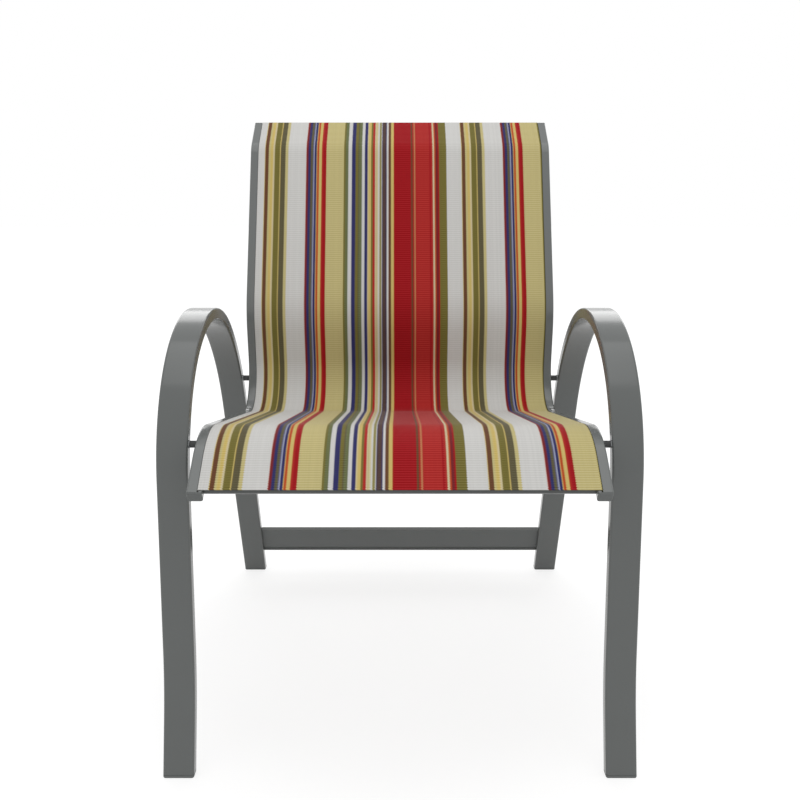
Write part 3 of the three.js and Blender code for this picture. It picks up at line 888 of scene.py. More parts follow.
@dataclass(frozen=True)
class WovenSling:
    """Woven sling cloth: coated warp yarns in stripes, crossed by fine weft ribs. Its colour holds
    painted light and shade on the yarns' crowns and the ribs.

    It reads the cloth's own map, which holds millimetres across from the middle and
    millimetres along from the front.
    """

    name: str
    first_stripe: float = -226.7
    out_of_line: float = 0.0018
    warp_pitch: float = 1.05
    rib_pitch: float = 3.65
    warp_crown: float = 2.2
    warp_height: float = 0.35
    rib_height: float = 0.3
    edge_tooth: float = 1.3
    # The next six sizes paint light and shade on the cloth: a glint on the rib crests, shade
    # between the ribs, and lighter warp crowns and rib crests.
    weft_show: float = 0.007
    rib_depth: float = 0.5
    yarn_lift: float = 1.6
    least_light: float = 0.89
    warp_light: float = 0.06
    rib_light: float = 0.08
    yarn_tint: float = 0.05
    slub_tint: float = 0.05
    slub: Pattern = Pattern(1.0, 2)
    slub_stretch: tuple[float, float, float] = (0.9, 0.05, 1.0)
    roughness: float = 0.66
    crest_gloss: float = 0.16
    reflection: float = 0.05
    sheen: float = 0.14
    sheen_roughness: float = 0.28
    thread_height: float = 0.00022
    thread_strength: float = 0.8

    def material(self) -> bpy.types.Material:
        """Makes the cloth's material.

        Returns:
            The material.
        """
        surface = Surface(self.name, "UV")
        graph = surface.graph
        place = graph.node("ShaderNodeSeparateXYZ", None, {0: surface.where})
        along = graph.output(place, 1)
        across = graph.output(place, 0) + along * self.out_of_line
        ribs = (along * (2 * math.pi / self.rib_pitch)).wave()
        warps = across / self.warp_pitch
        crest = 1 - ((warps.rest() - 0.5).size() * 2) ** self.warp_crown
        odd = ((warps / 2).rest() > 0.5) * math.pi
        crossing = (along * (4 * math.pi / self.rib_pitch) + odd).wave()
        height = crest * (crossing + 1) * self.warp_height + ribs * self.rib_height
        single = graph.output(graph.node(
            "ShaderNodeTexWhiteNoise", {"noise_dimensions": "1D"}, {"W": warps.whole()}
        ), "Value")
        drawn_out = graph.output(graph.node(
            "ShaderNodeMapping", None, {"Vector": surface.where, "Scale": self.slub_stretch}
        ))
        # Painted light and shade: each warp yarn's crown and each rib's crest lighter, the hollows
        # between them darker, together with random tone of single yarns and slubs.
        light = (
            self.least_light + crest * self.warp_light + ribs * self.rib_light
            + single.swing(self.yarn_tint)
            + graph.noise(drawn_out, self.slub).swing(self.slub_tint)
        )
        stripes = self._stripes(graph, across + ribs.swing(self.edge_tooth))
        surface.dress(
            # The base colour carries painted shade between the ribs and a painted glint on their
            # crests.
            Base_Color=graph.lit(self._ribbed(graph, stripes, ribs - 0.5), light),
            Roughness=self.roughness - height * self.crest_gloss,
            Specular_IOR_Level=self.reflection,
            Sheen_Weight=self.sheen,
            Sheen_Roughness=self.sheen_roughness,
        )
        surface.bump(height, self.thread_height, self.thread_strength)
        return surface.material

    def _ribbed(self, graph: NodeGraph, stripes: Value, rise: Value) -> Value:
        """Paints shade on the yarns between the ribs and a glint on the rib crests, dark yarns more
        than pale ones.

        Args:
            graph: Where the nodes go.
            stripes: The yarns' colour.
            rise: How far a place stands above the cloth's mean, from -0.5 to 0.5.

        Returns:
            The colour, with nearly the same mean.
        """
        lifted = graph.vectors("SCALE", stripes, Scale=self.yarn_lift)
        deep = graph.mixed(1.0, stripes, lifted, "MULTIPLY")
        contrast = graph.vectors("SUBTRACT", stripes, deep)
        contrast = graph.vectors("SCALE", contrast, Scale=self.rib_depth)
        # The painted shade between the ribs and the painted glint on their crests, scaled by the
        # rise.
        weft = graph.vectors("ADD", contrast, (self.weft_show,) * 3)
        return graph.vectors("ADD", stripes, graph.vectors("SCALE", weft, Scale=rise))

    def _stripes(self, graph: NodeGraph, across: Value) -> Value:
        """The stripes' colour.

        Args:
            graph: Where the nodes go.
            across: Millimetres from the cloth's middle.

        Returns:
            The yarn's colour at each place.
        """
        bands = stripe_bands()
        repeat = sum(width_of(band) for band in bands)
        place = ((across - self.first_stripe) / repeat + 2).rest() * repeat
        colour = self._ramp(graph, place / width_of(bands[0]), bands[0])
        start = width_of(bands[0])
        for band in bands[1:]:
            shown = self._ramp(graph, (place - start) / width_of(band), band)
            colour = graph.mixed(place > start, colour, shown)
            start += width_of(band)
        return colour

    @staticmethod
    def _ramp(graph: NodeGraph, share: Value, band: Sequence[Stripe]) -> Value:
        """Colour ramp over one band of stripes.

        Args:
            graph: Where the node goes.
            share: Place in the band, from 0 to 1.
            band: The band's stripes.

        Returns:
            The ramp's colour.
        """
        half_step = 0.5 / RAMP_STEPS
        stops = [
            (max(0.0, width_of(band[:i]) / width_of(band) - half_step), stripe.yarn.value)
            for i, stripe in enumerate(band)
        ]
        made = graph.node("ShaderNodeValToRGB", {"stops": stops}, {0: share})
        made.color_ramp.interpolation = "CONSTANT"
        return graph.output(made, "Color")


# Geometry trees

class PartTree:
    """A geometry tree with named inputs that ends in Realize Instances and Set Material."""

    def __init__(self, name: str, sizes: Sequence[str]) -> None:
        """Makes the tree and its inputs.

        Args:
            name: The tree's name.
            sizes: Names of the number inputs.
        """
        self.tree = bpy.data.node_groups.new(name, "GeometryNodeTree")
        sockets = self.tree.interface
        sockets.new_socket(name="Places", in_out="INPUT", socket_type="NodeSocketGeometry")
        for size in sizes:
            sockets.new_socket(name=size, in_out="INPUT", socket_type="NodeSocketFloat")
        sockets.new_socket(name="Material", in_out="INPUT", socket_type="NodeSocketMaterial")
        sockets.new_socket(name="Pieces", in_out="OUTPUT", socket_type="NodeSocketGeometry")
        self.graph = NodeGraph(self.tree)
        self.inputs = self.graph.node("NodeGroupInput")

    def input(self, name: str) -> Value:
        """A named input of the tree."""
        return Value(self.graph, self.inputs.outputs[name])

    def cylinder(self, radius: Any, length: Any, middle: Any, sides: int = 32) -> Value:
        """Closed cylinder along Z, with its middle at a height."""
        sockets = {"Vertices": sides, "Radius": radius, "Depth": length}
        return self.moved(self.graph.node("GeometryNodeMeshCylinder", None, sockets), middle)

    def moved(self, solid: bpy.types.Node, height: Any) -> Value:
        """Moves a node's mesh along Z."""
        place = self.graph.output(self.graph.node("ShaderNodeCombineXYZ", None, {2: height}))
        return self.graph.output(self.graph.node("GeometryNodeTransform", None, {
            "Geometry": self.graph.output(solid, "Mesh"), "Translation": place,
        }))

    def solid(self, operation: str, first: Value, second: Value) -> Value:
        """Joins, cuts or intersects two closed meshes.

        Args:
            operation: UNION, DIFFERENCE or INTERSECT.
            first: First mesh.
            second: Second mesh.

        Returns:
            The mesh.
        """
        cut = {"Mesh 1": first, "Mesh 2": second}
        sockets = cut if operation == "DIFFERENCE" else {"Mesh 2": [first, second]}
        return self.graph.output(self.graph.node(
            "GeometryNodeMeshBoolean", {"operation": operation, "solver": "EXACT"}, sockets
        ), "Mesh")

    def spread(self, mesh: Value, facing: int) -> None:
        """Puts the mesh at every place, turned to its side of the chair, and ends the tree.

        Args:
            mesh: The mesh of one part, along Z.
            facing: 1 where the part's top looks away from the chair's middle, else -1.
        """
        graph = self.graph
        position = graph.output(graph.node("GeometryNodeInputPosition"))
        x = graph.output(graph.node("ShaderNodeSeparateXYZ", None, {0: position}))
        axis = graph.node("ShaderNodeCombineXYZ", None, {0: x.sign() * facing})
        turn = graph.node(
            "FunctionNodeAlignRotationToVector", {"axis": "Z"}, {"Vector": graph.output(axis)}
        )
        self.finish(graph.output(graph.node("GeometryNodeInstanceOnPoints", None, {
            "Points": self.input("Places"), "Instance": mesh, "Rotation": graph.output(turn),
        })))

    def finish(self, mesh: Value) -> None:
        """Realizes the mesh, sets its material and links the tree's output.

        Args:
            mesh: The mesh of all the tree's parts.
        """
        real = self.graph.node("GeometryNodeRealizeInstances", None, {"Geometry": mesh})
        dressed = self.graph.node("GeometryNodeSetMaterial", None, {
            "Geometry": self.graph.output(real), "Material": self.input("Material"),
        })
        self.graph.node("NodeGroupOutput", None, {0: self.graph.output(dressed)})

    def made(
        self, source: bpy.types.Mesh, sizes: dict[str, float], material: bpy.types.Material
    ) -> bpy.types.Mesh:
        """Runs the tree on a mesh of places or a path.

        Args:
            source: The mesh that the tree reads.
            sizes: Values of the named inputs, in millimetres.
            material: The material that it sets.

        Returns:
            The plain mesh.
        """
        holder = linked("tree_holder", source)
        modifier = holder.modifiers.new("parts", "NODES")
        modifier.node_group = self.tree
        keys = {item.name: item.identifier for item in self.tree.interface.items_tree}
        for name, size in sizes.items():
            modifier[keys[name]] = size * MM
        modifier[keys["Material"]] = material
        mesh = evaluated_mesh(holder)
        holder.modifiers.remove(modifier)
        bpy.data.objects.remove(holder)
        return mesh


def fastener_tree(facing: int) -> PartTree:
    """Tree of screws: a domed head with a hexagonal socket, and a shank.

    Args:
        facing: 1 where the heads look away from the chair's middle, else -1.

    Returns:
        The tree. A screw's head stands on z 0 and its shank points down.
    """
    tree = PartTree("screws", [
        "Head diameter", "Head height", "Dome height", "Socket width", "Socket depth",
        "Shank diameter", "Shank length",
    ])
    half_head, height = tree.input("Head diameter") / 2, tree.input("Head height")
    dome, shank = tree.input("Dome height"), tree.input("Shank length")
    reach = (half_head * half_head + dome * dome) / (dome * 2)
    ball = tree.graph.node("GeometryNodeMeshUVSphere", None, {
        "Segments": DOME_CHORDS, "Rings": DOME_RINGS, "Radius": reach,
    })
    button = tree.solid(
        "INTERSECT", tree.cylinder(half_head, height, height / 2), tree.moved(ball, height - reach)
    )
    socket = tree.cylinder(
        tree.input("Socket width") / math.sqrt(3), tree.input("Socket depth") * 2, height, HEXAGON
    )
    root = height * ROOT_SHARE
    rod = tree.cylinder(
        tree.input("Shank diameter") / 2, shank + root, (root - shank) / 2, SHANK_CHORDS
    )
    tree.spread(tree.solid("UNION", tree.solid("DIFFERENCE", button, socket), rod), facing)
    return tree


def collar_tree() -> PartTree:
    """Tree of collars: a tube with a flange at its foot.

    Returns:
        The tree. A collar stands on z 0.
    """
    tree = PartTree("collars", [
        "Outer diameter", "Flange diameter", "Flange height", "Bore", "Length",
    ])
    length, flange = tree.input("Length"), tree.input("Flange height")
    tube = tree.cylinder(tree.input("Outer diameter") / 2, length, length / 2)
    plate = tree.cylinder(tree.input("Flange diameter") / 2, flange, flange / 2)
    bore = tree.cylinder(tree.input("Bore") / 2, length * 3, 0.0)
    tree.spread(tree.solid("DIFFERENCE", tree.solid("UNION", tube, plate), bore), 1)
    return tree


def cord_tree() -> PartTree:
    """Tree of a round cord that follows a path of edges.

    Returns:
        The tree.
    """
    tree = PartTree("cords", ["Diameter"])
    graph = tree.graph
    path = graph.node("GeometryNodeMeshToCurve", None, {"Mesh": tree.input("Places")})
    circle = graph.node("GeometryNodeCurvePrimitiveCircle", {"mode": "RADIUS"}, {
        "Resolution": CORD_CHORDS, "Radius": tree.input("Diameter") / 2,
    })
    tree.finish(graph.output(graph.node("GeometryNodeCurveToMesh", None, {
        "Curve": graph.output(path), "Profile Curve": graph.output(circle), "Fill Caps": True,
    })))
    return tree


def points_mesh(points: Iterable[Vector], joined: bool = False) -> bpy.types.Mesh:
    """Mesh of loose points, or of a path through them.

    Args:
        points: The points in millimetres.
        joined: Whether edges join them in order.

    Returns:
        The mesh in metres.
    """
    places = [point * MM for point in points]
    edges = [(i, i + 1) for i in range(len(places) - 1)] if joined else []
    mesh = bpy.data.meshes.new("places")
    mesh.from_pydata(places, edges, [])
    return mesh


# Sub-assemblies

@dataclass
class Layout:
    """Sizes that several sub-assemblies share, and the two routes that they follow.

    A route starts at a y, a z and a heading.
    """

    width: float = 610
    bar_width: float = 40
    rail_gap: float = 11.5
    rail_width: float = 18.4
    rail_height: float = 16.5
    rail_wall: float = 1.6
    rail_face: float = 12.7
    mouth: float = 1.7
    groove_depth: float = 4.8
    bolt_depth: float = 11.6
    cloth: float = 0.8
    cord: float = 2.6
    slack: float = 0.3
    gap: float = 0.3
    frame_start: tuple[float, float, float] = (-333.625, 0, 15.7)
    foot_run: float = 73
    leg_bend: Bend = (440, -11.5)
    leg_run: float = 225.5
    arm_bends: tuple[Bend, ...] = ((190, 60), (234, 60), (353, 32))
    rail_start: tuple[float, float, float] = (-355.915, 389.34, 54.3)
    curl_run: float = 54
    curl_bend: Bend = (115.5, 46.2)
    seat_run: float = 299
    hip_bend: Bend = (64.5, -107)
    hip_run: float = 48.5
    waist_bend: Bend = (122.5, 30)
    back_run: float = 248.5
    top_bend: Bend = (42, 30.7)
    top_run: float = 60

    @property
    def frame_inner(self) -> float:
        """Distance of the side frames' inner faces from the middle."""
        return self.width / 2 - self.bar_width

    @property
    def rail_outer(self) -> float:
        """Distance of the rails' outer faces from the middle."""
        return self.frame_inner - self.rail_gap

    @property
    def rail_inner(self) -> float:
        """Distance of the rails' inner faces from the middle."""
        return self.rail_outer - self.rail_width

    @property
    def mouth_centre(self) -> float:
        """Distance of the groove's mouth from the rail's outer face."""
        return self.rail_face + self.mouth / 2

    @property
    def groove_x(self) -> float:
        """Distance of the groove's middle from the chair's middle."""
        return self.rail_outer - self.mouth_centre

    @property
    def lip(self) -> float:
        """Depth of the room for the cloth between the rail's face and the groove's inner lip."""
        return self.cloth + self.gap

    @property
    def loop_inner(self) -> float:
        """Inner radius of the cloth's loop round its cord."""
        return self.cord / 2 + self.slack

    @property
    def loop_outer(self) -> float:
        """Outer radius of the cloth's loop round its cord."""
        return self.loop_inner + self.cloth

    @property
    def groove_radius(self) -> float:
        """Radius of the rail's groove."""
        return self.loop_outer + self.gap

    @property
    def hip(self) -> float:
        """Travel along the rail where the seat's run ends."""
        radius, turn = self.curl_bend
        return self.curl_run + math.radians(turn) * radius + self.seat_run

    def groove(self, count: int = 30) -> Outline:
        """The groove's round wall, from its mouth's inner side to the outer one."""
        mouth = math.degrees(math.acos(self.mouth / 2 / self.groove_radius))
        return arc(self.mouth_centre, -self.groove_depth, self.groove_radius, mouth,
                   -180 - mouth, count)

    def frame_route(self) -> BendRoute:
        """Route of a side frame's bar, from the front foot over the arm to the rear foot.

        Returns:
            The route.
        """
        route = BendRoute(*self.frame_start).straight(self.foot_run)
        route.bend(*self.leg_bend).straight(self.leg_run)
        for arm_bend in self.arm_bends:
            route.bend(*arm_bend)
        return route.straight(-route.end.z / math.cos(route.end.heading))

    def rail_route(self) -> BendRoute:
        """Route of a rail's face, from the front of the seat to the top of the back.

        Returns:
            The route.
        """
        route = BendRoute(*self.rail_start).straight(self.curl_run)
        route.bend(*self.curl_bend).straight(self.seat_run)
        route.bend(*self.hip_bend).straight(self.hip_run)
        route.bend(*self.waist_bend).straight(self.back_run)
        return route.bend(*self.top_bend).straight(self.top_run)


@dataclass
class SideFrames:
    """The two bent side frames, their foot glides and the stretcher between the rear legs."""

    layout: Layout
    coat: bpy.types.Material
    plastic: bpy.types.Material
    thickness: float = 17
    corner: float = 3
    least_corner: float = 0.5
    wall: float = 2
    insert_hole: float = 9.6
    glide_height: float = 4
    glide_rounding: float = 2.4
    glide_rim: float = 0.3
    glide_tongue: float = 18
    level_above: float = 8
    leg_reach: float = 100
    bend_chords: int = 4
    edge_chords: int = 3
    edge_ease: float = 0.2
    stretcher_height: float = 54
    stretcher_depth: float = 9
    stretcher_flange: float = 4
    stretcher_web: float = 6.5
    stretcher_rise: float = 77.7
    stretcher_bend: float = 1
    stretcher_edge: float = 0.5

    @property
    def bar_middle(self) -> float:
        """Distance of the bars' middle from the chair's middle."""
        return self.layout.width / 2 - self.layout.bar_width / 2

    def bar_outline(self, inset: float, count: int = 6) -> Outline:
        """The bar's outline about its middle, drawn in by an inset, with chords in its corners."""
        x, y = self.layout.bar_width / 2 - inset, self.thickness / 2 - inset
        return rounded_box((-x, -y), (x, y), max(self.corner - inset, self.least_corner),
                           count=count)

    def build_bar(self, side: Side) -> bpy.types.Object:
        """Makes one side frame, with holes in its inner wall for the threaded inserts.

        Args:
            side: The chair's side.

        Returns:
            The dressed piece.
        """
        route = self.layout.frame_route()
        outlines = [self.bar_outline(0), self.bar_outline(self.wall, 2)]
        foot, reach = self.glide_height + self.layout.gap, self.leg_reach
        inside = [s for s in route.stations[1:-1]
                  if s.z > foot + self.level_above or reach < s.travel < route.length - reach]
        first, last = (level_ring(station, outlines, side, self.bar_middle, foot)
                       for station in (route.stations[0], route.end))
        rings = [square_ring(station, outlines, side, self.bar_middle) for station in inside]
        face = self.layout.frame_inner
        start, stop = face - OVERREACH, face + self.wall + OVERREACH
        posts = []
        for where in ("front", "rear"):
            place = centre_of(f"frame_bolt_{where}_{side.hand}")
            posts.append(round_post(
                self.insert_hole / 2, side.value * start, side.value * stop, place.y, place.z
            ))
        mesh = combined(skin("side_frame", outlines, [first, *rings, last]), posts)
        name = f"side_frame_{side.hand}"
        return finished(f"{name}_bar", mesh, self.coat, [name])

    def build_glide(self, side: Side, where: str) -> bpy.types.Object:
        """Makes one foot glide, with its tongue inside the bar.

        Args:
            side: The chair's side.
            where: front or rear.

        Returns:
            The dressed piece.
        """
        route = self.layout.frame_route()
        station = route.stations[0] if where == "front" else route.end
        inner, height = self.wall + self.layout.gap, self.glide_height
        steps = [*rounded_end(self.glide_rounding), (0, height - self.glide_rim), (0, height),
                 (inner, height), (inner, height + self.glide_tongue)]
        rings = [level_ring(station, [self.bar_outline(inset)], side, self.bar_middle, z)
                 for inset, z in steps]
        name = f"foot_glide_{where}_{side.hand}"
        mesh = skin(name, [self.bar_outline(0)], rings)
        return finished(f"{name}_cap", mesh, self.plastic, [name])

    def stretcher_outline(self) -> Outline:
        """The channel's outline, open to the front.

        Returns:
            The outline, with x along the leg and y towards the back.
        """
        back, bend, edge = self.thickness / 2, self.stretcher_bend, self.stretcher_edge
        front, web = back - self.stretcher_depth, back - self.stretcher_web
        top, lip = self.stretcher_height / 2, self.stretcher_height / 2 - self.stretcher_flange
        many, few, ease = self.bend_chords, self.edge_chords, self.edge_ease
        return [
            *eased_corner(top - bend, back - bend, bend, 0, 90, many),
            *eased_corner(bend - top, back - bend, bend, 90, 180, many),
            *eased_corner(edge - top, front + edge, edge, 180, 270, few, ease),
            *eased_corner(-lip - edge, front + edge, edge, 270, 360, few, ease),
            *eased_corner(bend - lip, web - bend, bend, 180, 90, many, ease),
            *eased_corner(lip - bend, web - bend, bend, 90, 0, many, ease),
            *eased_corner(lip + edge, front + edge, edge, 180, 270, few, ease),
            *eased_corner(top - edge, front + edge, edge, 270, 360, few, ease),
        ]

    def build_stretcher(self) -> bpy.types.Object:
        """Makes the channel between the rear legs.

        Returns:
            The dressed piece.
        """
        route = self.layout.frame_route()
        station = route.at(route.length - self.stretcher_rise)
        reach = self.layout.frame_inner - WELD_GAP
        outline = self.stretcher_outline()
        sine, cosine = math.sin(station.heading), math.cos(station.heading)
        rings = []
        for x in (-reach, END_RING - reach, reach - END_RING, reach):
            ring = []
            for along, depth in outline:
                y, z = station.at_depth(depth)
                ring.append(Vector((x, y + along * sine, z + along * cosine)))
            rings.append(ring)
        mesh = skin("rear_stretcher", [outline], rings)
        return finished(
            "rear_stretcher_channel", mesh, self.coat, ["rear_stretcher"]
        )

    def build(self) -> None:
        """Makes every piece of the side frames."""
        for side in Side:
            self.build_bar(side)
            self.build_glide(side, "front")
            self.build_glide(side, "rear")
        self.build_stretcher()


@dataclass
class SlingRails:
    """The two grooved rails with their end plugs."""

    layout: Layout
    coat: bpy.types.Material
    plastic: bpy.types.Material
    foot_corner: float = 3
    top_corner: float = 2
    least_foot: float = 0.6
    least_top: float = 0.5
    mouth_edge: float = 0.5
    plug_plate: float = 2
    plug_rounding: float = 1.5
    plug_rim: float = 0.2
    plug_tongue: float = 10
    foot_chords: int = 6
    top_chords: int = 5
    edge_chords: int = 3
    ease: float = 0.3
    fine_ease: float = 0.2
    bolt_hole: float = 6.4
    screw_hole: float = 3.9
    head_hole: float = 6.4
    hole_overlap: float = 0.5

    def outline(self) -> Outline:
        """The rail's section.

        Returns:
            The outline, with x inwards from the outer face, and y 0 at the face and minus below.
        """
        part, lip, edge = self.layout, self.layout.lip, self.mouth_edge
        low, far = -part.rail_height, part.rail_face + part.mouth
        foot, top = self.foot_corner, self.top_corner
        return [
            *eased_corner(top, -top, top, 90, 180, self.top_chords),
            *eased_corner(foot, low + foot, foot, 180, 270, self.foot_chords),
            *eased_corner(part.rail_width - foot, low + foot, foot, 270, 360, self.foot_chords),
            (part.rail_width, -2 * lip - self.ease),
            *arc(part.rail_width - lip, -2 * lip, lip, 0, 90, self.top_chords),
            (far + self.fine_ease, -lip),
            (far, -lip),
            *part.groove(),
            (part.rail_face, -edge - self.fine_ease),
            *arc(part.rail_face - edge, -edge, edge, 0, 90, self.edge_chords),
            (part.rail_face - edge - self.ease, 0),
        ]

    def bore(self, inset: float = 0.0) -> Outline:
        """The rail's L-shaped bore round the groove, drawn in by an inset.

        Args:
            inset: How far it is drawn in.

        Returns:
            The outline.
        """
        part = self.layout
        wall, low = part.rail_wall + inset, -part.rail_height + part.rail_wall + inset
        right, step = part.rail_width - wall, part.mouth_centre - part.groove_radius - wall
        shelf = -(part.groove_depth + part.groove_radius + part.rail_wall / 2) - inset
        return [(wall, low), (right, low), (right, shelf), (step, shelf), (step, -wall),
                (wall, -wall)]

    def holes(self, side: Side) -> list[bpy.types.Mesh]:
        """Posts for the rail's holes.

        Args:
            side: The chair's side.

        Returns:
            Posts for the two bolts, and for each screw and its head.
        """
        part, way, posts = self.layout, side.value, []
        inner, outer = part.rail_inner - OVERREACH, part.rail_outer + OVERREACH
        middle = (part.rail_inner + part.rail_outer) / 2

        def add(diameter: float, x_from: float, x_to: float, place: Vector) -> None:
            """Adds one post."""
            posts.append(round_post(diameter / 2, way * x_from, way * x_to, place.y, place.z))

        for where in ("front", "rear"):
            add(self.bolt_hole, inner, outer, centre_of(f"frame_bolt_{where}_{side.hand}"))
        for where in ("front", "hip", "top"):
            place = centre_of(f"spreader_screw_{where}_{side.hand}")
            add(self.screw_hole, inner, middle + self.hole_overlap, place)
            add(self.head_hole, middle, outer, place)
        return posts

    def build_rail(self, side: Side) -> bpy.types.Object:
        """Makes one rail.

        Args:
            side: The chair's side.

        Returns:
            The dressed piece.
        """
        part, route = self.layout, self.layout.rail_route()
        inset = self.plug_plate + part.gap
        outlines = [self.outline(), self.bore()]
        stations = route.between(inset, route.length - inset)
        rings = [square_ring(station, outlines, side, part.rail_outer) for station in stations]
        mesh = combined(skin("sling_rail", outlines, rings), self.holes(side))
        name = f"sling_rail_{side.hand}"
        return finished(f"{name}_extrusion", mesh, self.coat, [name])

    def cloth_passage(self, side: Side) -> bpy.types.Mesh:
        """Room for the cloth and its loop where they run on over the top plug's plate.

        Args:
            side: The chair's side.

        Returns:
            The closed mesh to take away.
        """
        part, route = self.layout, self.layout.rail_route()
        past_edge = part.rail_width + OVERREACH
        outline = [
            (past_edge, -part.lip), (past_edge, OVERREACH), (part.rail_face, OVERREACH),
            *reversed(part.groove()), (part.rail_face + part.mouth, -part.lip),
        ]
        end = route.end
        past_end = Station(
            end.y + OVERREACH * math.sin(end.heading), end.z + OVERREACH * math.cos(end.heading),
            end.heading, end.travel + OVERREACH,
        )
        start = route.at(route.length - self.plug_plate - part.gap)
        rings = [square_ring(s, [outline], side, part.rail_outer) for s in (start, past_end)]
        return skin("passage", [outline], rings)

    def plate_outline(self, inset: float) -> Outline:
        """Outline of a plug's plate, drawn in by an inset."""
        part, foot, top = self.layout, self.foot_corner - inset, self.top_corner - inset
        return rounded_box((inset, inset - part.rail_height), (part.rail_width - inset, -inset),
                           max(foot, self.least_foot), max(top, self.least_top), self.foot_chords)

    def build_plug(self, side: Side, where: str) -> bpy.types.Object:
        """Makes one end plug: a rounded plate with a tongue inside the rail's bore.

        Args:
            side: The chair's side.
            where: front or top.

        Returns:
            The dressed piece.
        """
        part, route = self.layout, self.layout.rail_route()

        def ring(depth: float, outline: Outline) -> Ring:
            """Ring at a depth from the rail's end."""
            station = route.at(depth if where == "front" else route.length - depth)
            return square_ring(station, [outline], side, part.rail_outer)

        plate = self.plug_plate
        steps = [*rounded_end(self.plug_rounding), (0, plate - self.plug_rim), (0, plate)]
        rings = [ring(depth, self.plate_outline(inset)) for inset, depth in steps]
        name = f"rail_plug_{where}_{side.hand}"
        mesh = skin(name, [self.plate_outline(0)], rings)
        if where == "top":
            mesh = combined(mesh, [self.cloth_passage(side)])
        outline = self.bore(part.gap)
        depths = (plate / 2, plate + part.gap + self.plug_tongue)
        tongue = skin("tongue", [outline], [ring(depth, outline) for depth in depths])
        joined = combined(mesh, [tongue], "UNION")
        return finished(f"{name}_cap", joined, self.plastic, [name])

    def build(self) -> None:
        """Makes every piece of the rails."""
        for side in Side:
            self.build_rail(side)
            self.build_plug(side, "front")
            self.build_plug(side, "top")


class Bow(Enum):
    """How a spreader bar runs between the rails."""

    STRAIGHT = "straight"
    BOWED = "bowed"


@dataclass
class Spreaders:
    """The three bars that hold the rails apart, and the screws in their ends."""

    layout: Layout
    # A darker copy of the frame coat, painted shade for bars under and behind the cloth.
    coat: bpy.types.Material
    steel: bpy.types.Material
    width: float = 26
    thickness: float = 11
    wall: float = 1.8
    port: float = 1.95
    port_wall: float = 1.5
    side_chords: int = 16
    port_chords: int = 16
    hollow_chords: int = 20
    bow_straight: float = 28
    bow_radius: float = 45
    bow_angle: float = 26
    bow_slope: float = 30
    bow_step: float = 2
    front_travel: float = 22.3
    hip_distance: float = 52
    top_distance: float = 27
    screw_head: float = 6
    screw_head_height: float = 2.4
    screw_dome: float = 0.3
    screw_socket: float = 2.4
    screw_socket_depth: float = 1.2
    screw_shank: float = 3.5
    screw_length: float = 16.2

    def outlines(self) -> list[Outline]:
        """The bar's flat oval with a screw port between two round hollows.

        Returns:
            The outer outline, the port and the hollows.
        """
        x, y, chords = self.width / 2, self.thickness / 2, self.side_chords
        hollow = y - self.wall
        offset = self.port + self.port_wall + hollow
        outer = [*eased_corner(y - x, 0, y, 90, 270, chords),
                 *eased_corner(x - y, 0, y, -90, 90, chords)]
        port = arc(0, 0, self.port, 0, 360, self.port_chords)
        hollows = [arc(at, 0, hollow, 0, 360, self.hollow_chords) for at in (-offset, offset)]
        return [outer, *(circle[:-1] for circle in (port, *hollows))]

    def line(self, bow: Bow) -> list[tuple[float, float, float]]:
        """The bar's middle line.

        Args:
            bow: How the bar runs.

        Returns:
            Places along X, each with its drop away from the cloth and its slope.
        """
        reach, step = self.layout.rail_inner - WELD_GAP, self.bow_step
        if bow is Bow.STRAIGHT:
            places = (-reach, END_RING - reach, 0.0, reach - END_RING, reach)
            return [(x, 0.0, 0.0) for x in places]
        half = BendRoute(0, 0, 90, step).straight(self.bow_straight)
        half.bend(self.bow_radius, self.bow_angle).straight(self.bow_slope)
        half.bend(self.bow_radius, -self.bow_angle)
        left = [(s.y - reach, -s.z, s.heading - math.pi / 2) for s in half.stations]
        left.append((left[-1][0] + step, left[-1][1], 0.0))
        return [*left, *((-x, drop, -slope) for x, drop, slope in reversed(left))]

    def build_bar(self, name: str, travel: float, bow: Bow) -> bpy.types.Object:
        """Makes one spreader bar.

        Args:
            name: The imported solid's name.
            travel: Where it meets the rail, along the rail.
            bow: How it runs.

        Returns:
            The dressed piece.
        """
        station = self.layout.rail_route().at(travel)
        y0, z0 = station.at_depth(-self.layout.bolt_depth)
        sine, cosine = math.sin(station.heading), math.cos(station.heading)
        outlines, rings = self.outlines(), []
        for x, drop, slope in self.line(bow):
            ring = []
            for along, out in (point for outline in outlines for point in outline):
                depth = out * math.cos(slope) - drop
                ring.append(Vector((
                    x + out * math.sin(slope),
                    y0 + along * sine - depth * cosine,
                    z0 + along * cosine + depth * sine,
                )))
            rings.append(ring)
        mesh = skin(name, outlines, rings)
        return finished(f"{name}_bar", mesh, self.coat, [name])

    def build_screws(self) -> bpy.types.Object:
        """Makes the six screws whose heads sit inside the rails.

        Returns:
            The dressed piece.
        """
        part = self.layout
        nodes = [f"spreader_screw_{where}_{side.hand}"
                 for side in Side for where in ("front", "hip", "top")]
        bearing = part.rail_inner + part.rail_wall + part.gap
        places = [Vector((math.copysign(bearing, centre_of(n).x), *centre_of(n).yz))
                  for n in nodes]
        sizes = {
            "Head diameter": self.screw_head, "Head height": self.screw_head_height,
            "Dome height": self.screw_dome, "Socket width": self.screw_socket,
            "Socket depth": self.screw_socket_depth, "Shank diameter": self.screw_shank,
            "Shank length": self.screw_length,
        }
        mesh = fastener_tree(1).made(points_mesh(places), sizes, self.steel)
        return finished("spreader_screws", mesh, self.steel, nodes)

    def build(self) -> None:
        """Makes every spreader bar and its screws."""
        top = self.layout.rail_route().length - self.top_distance
        self.build_bar("front_spreader", self.front_travel, Bow.STRAIGHT)
        self.build_bar("hip_spreader", self.layout.hip - self.hip_distance, Bow.BOWED)
        self.build_bar("top_spreader", top, Bow.BOWED)
        self.build_screws()


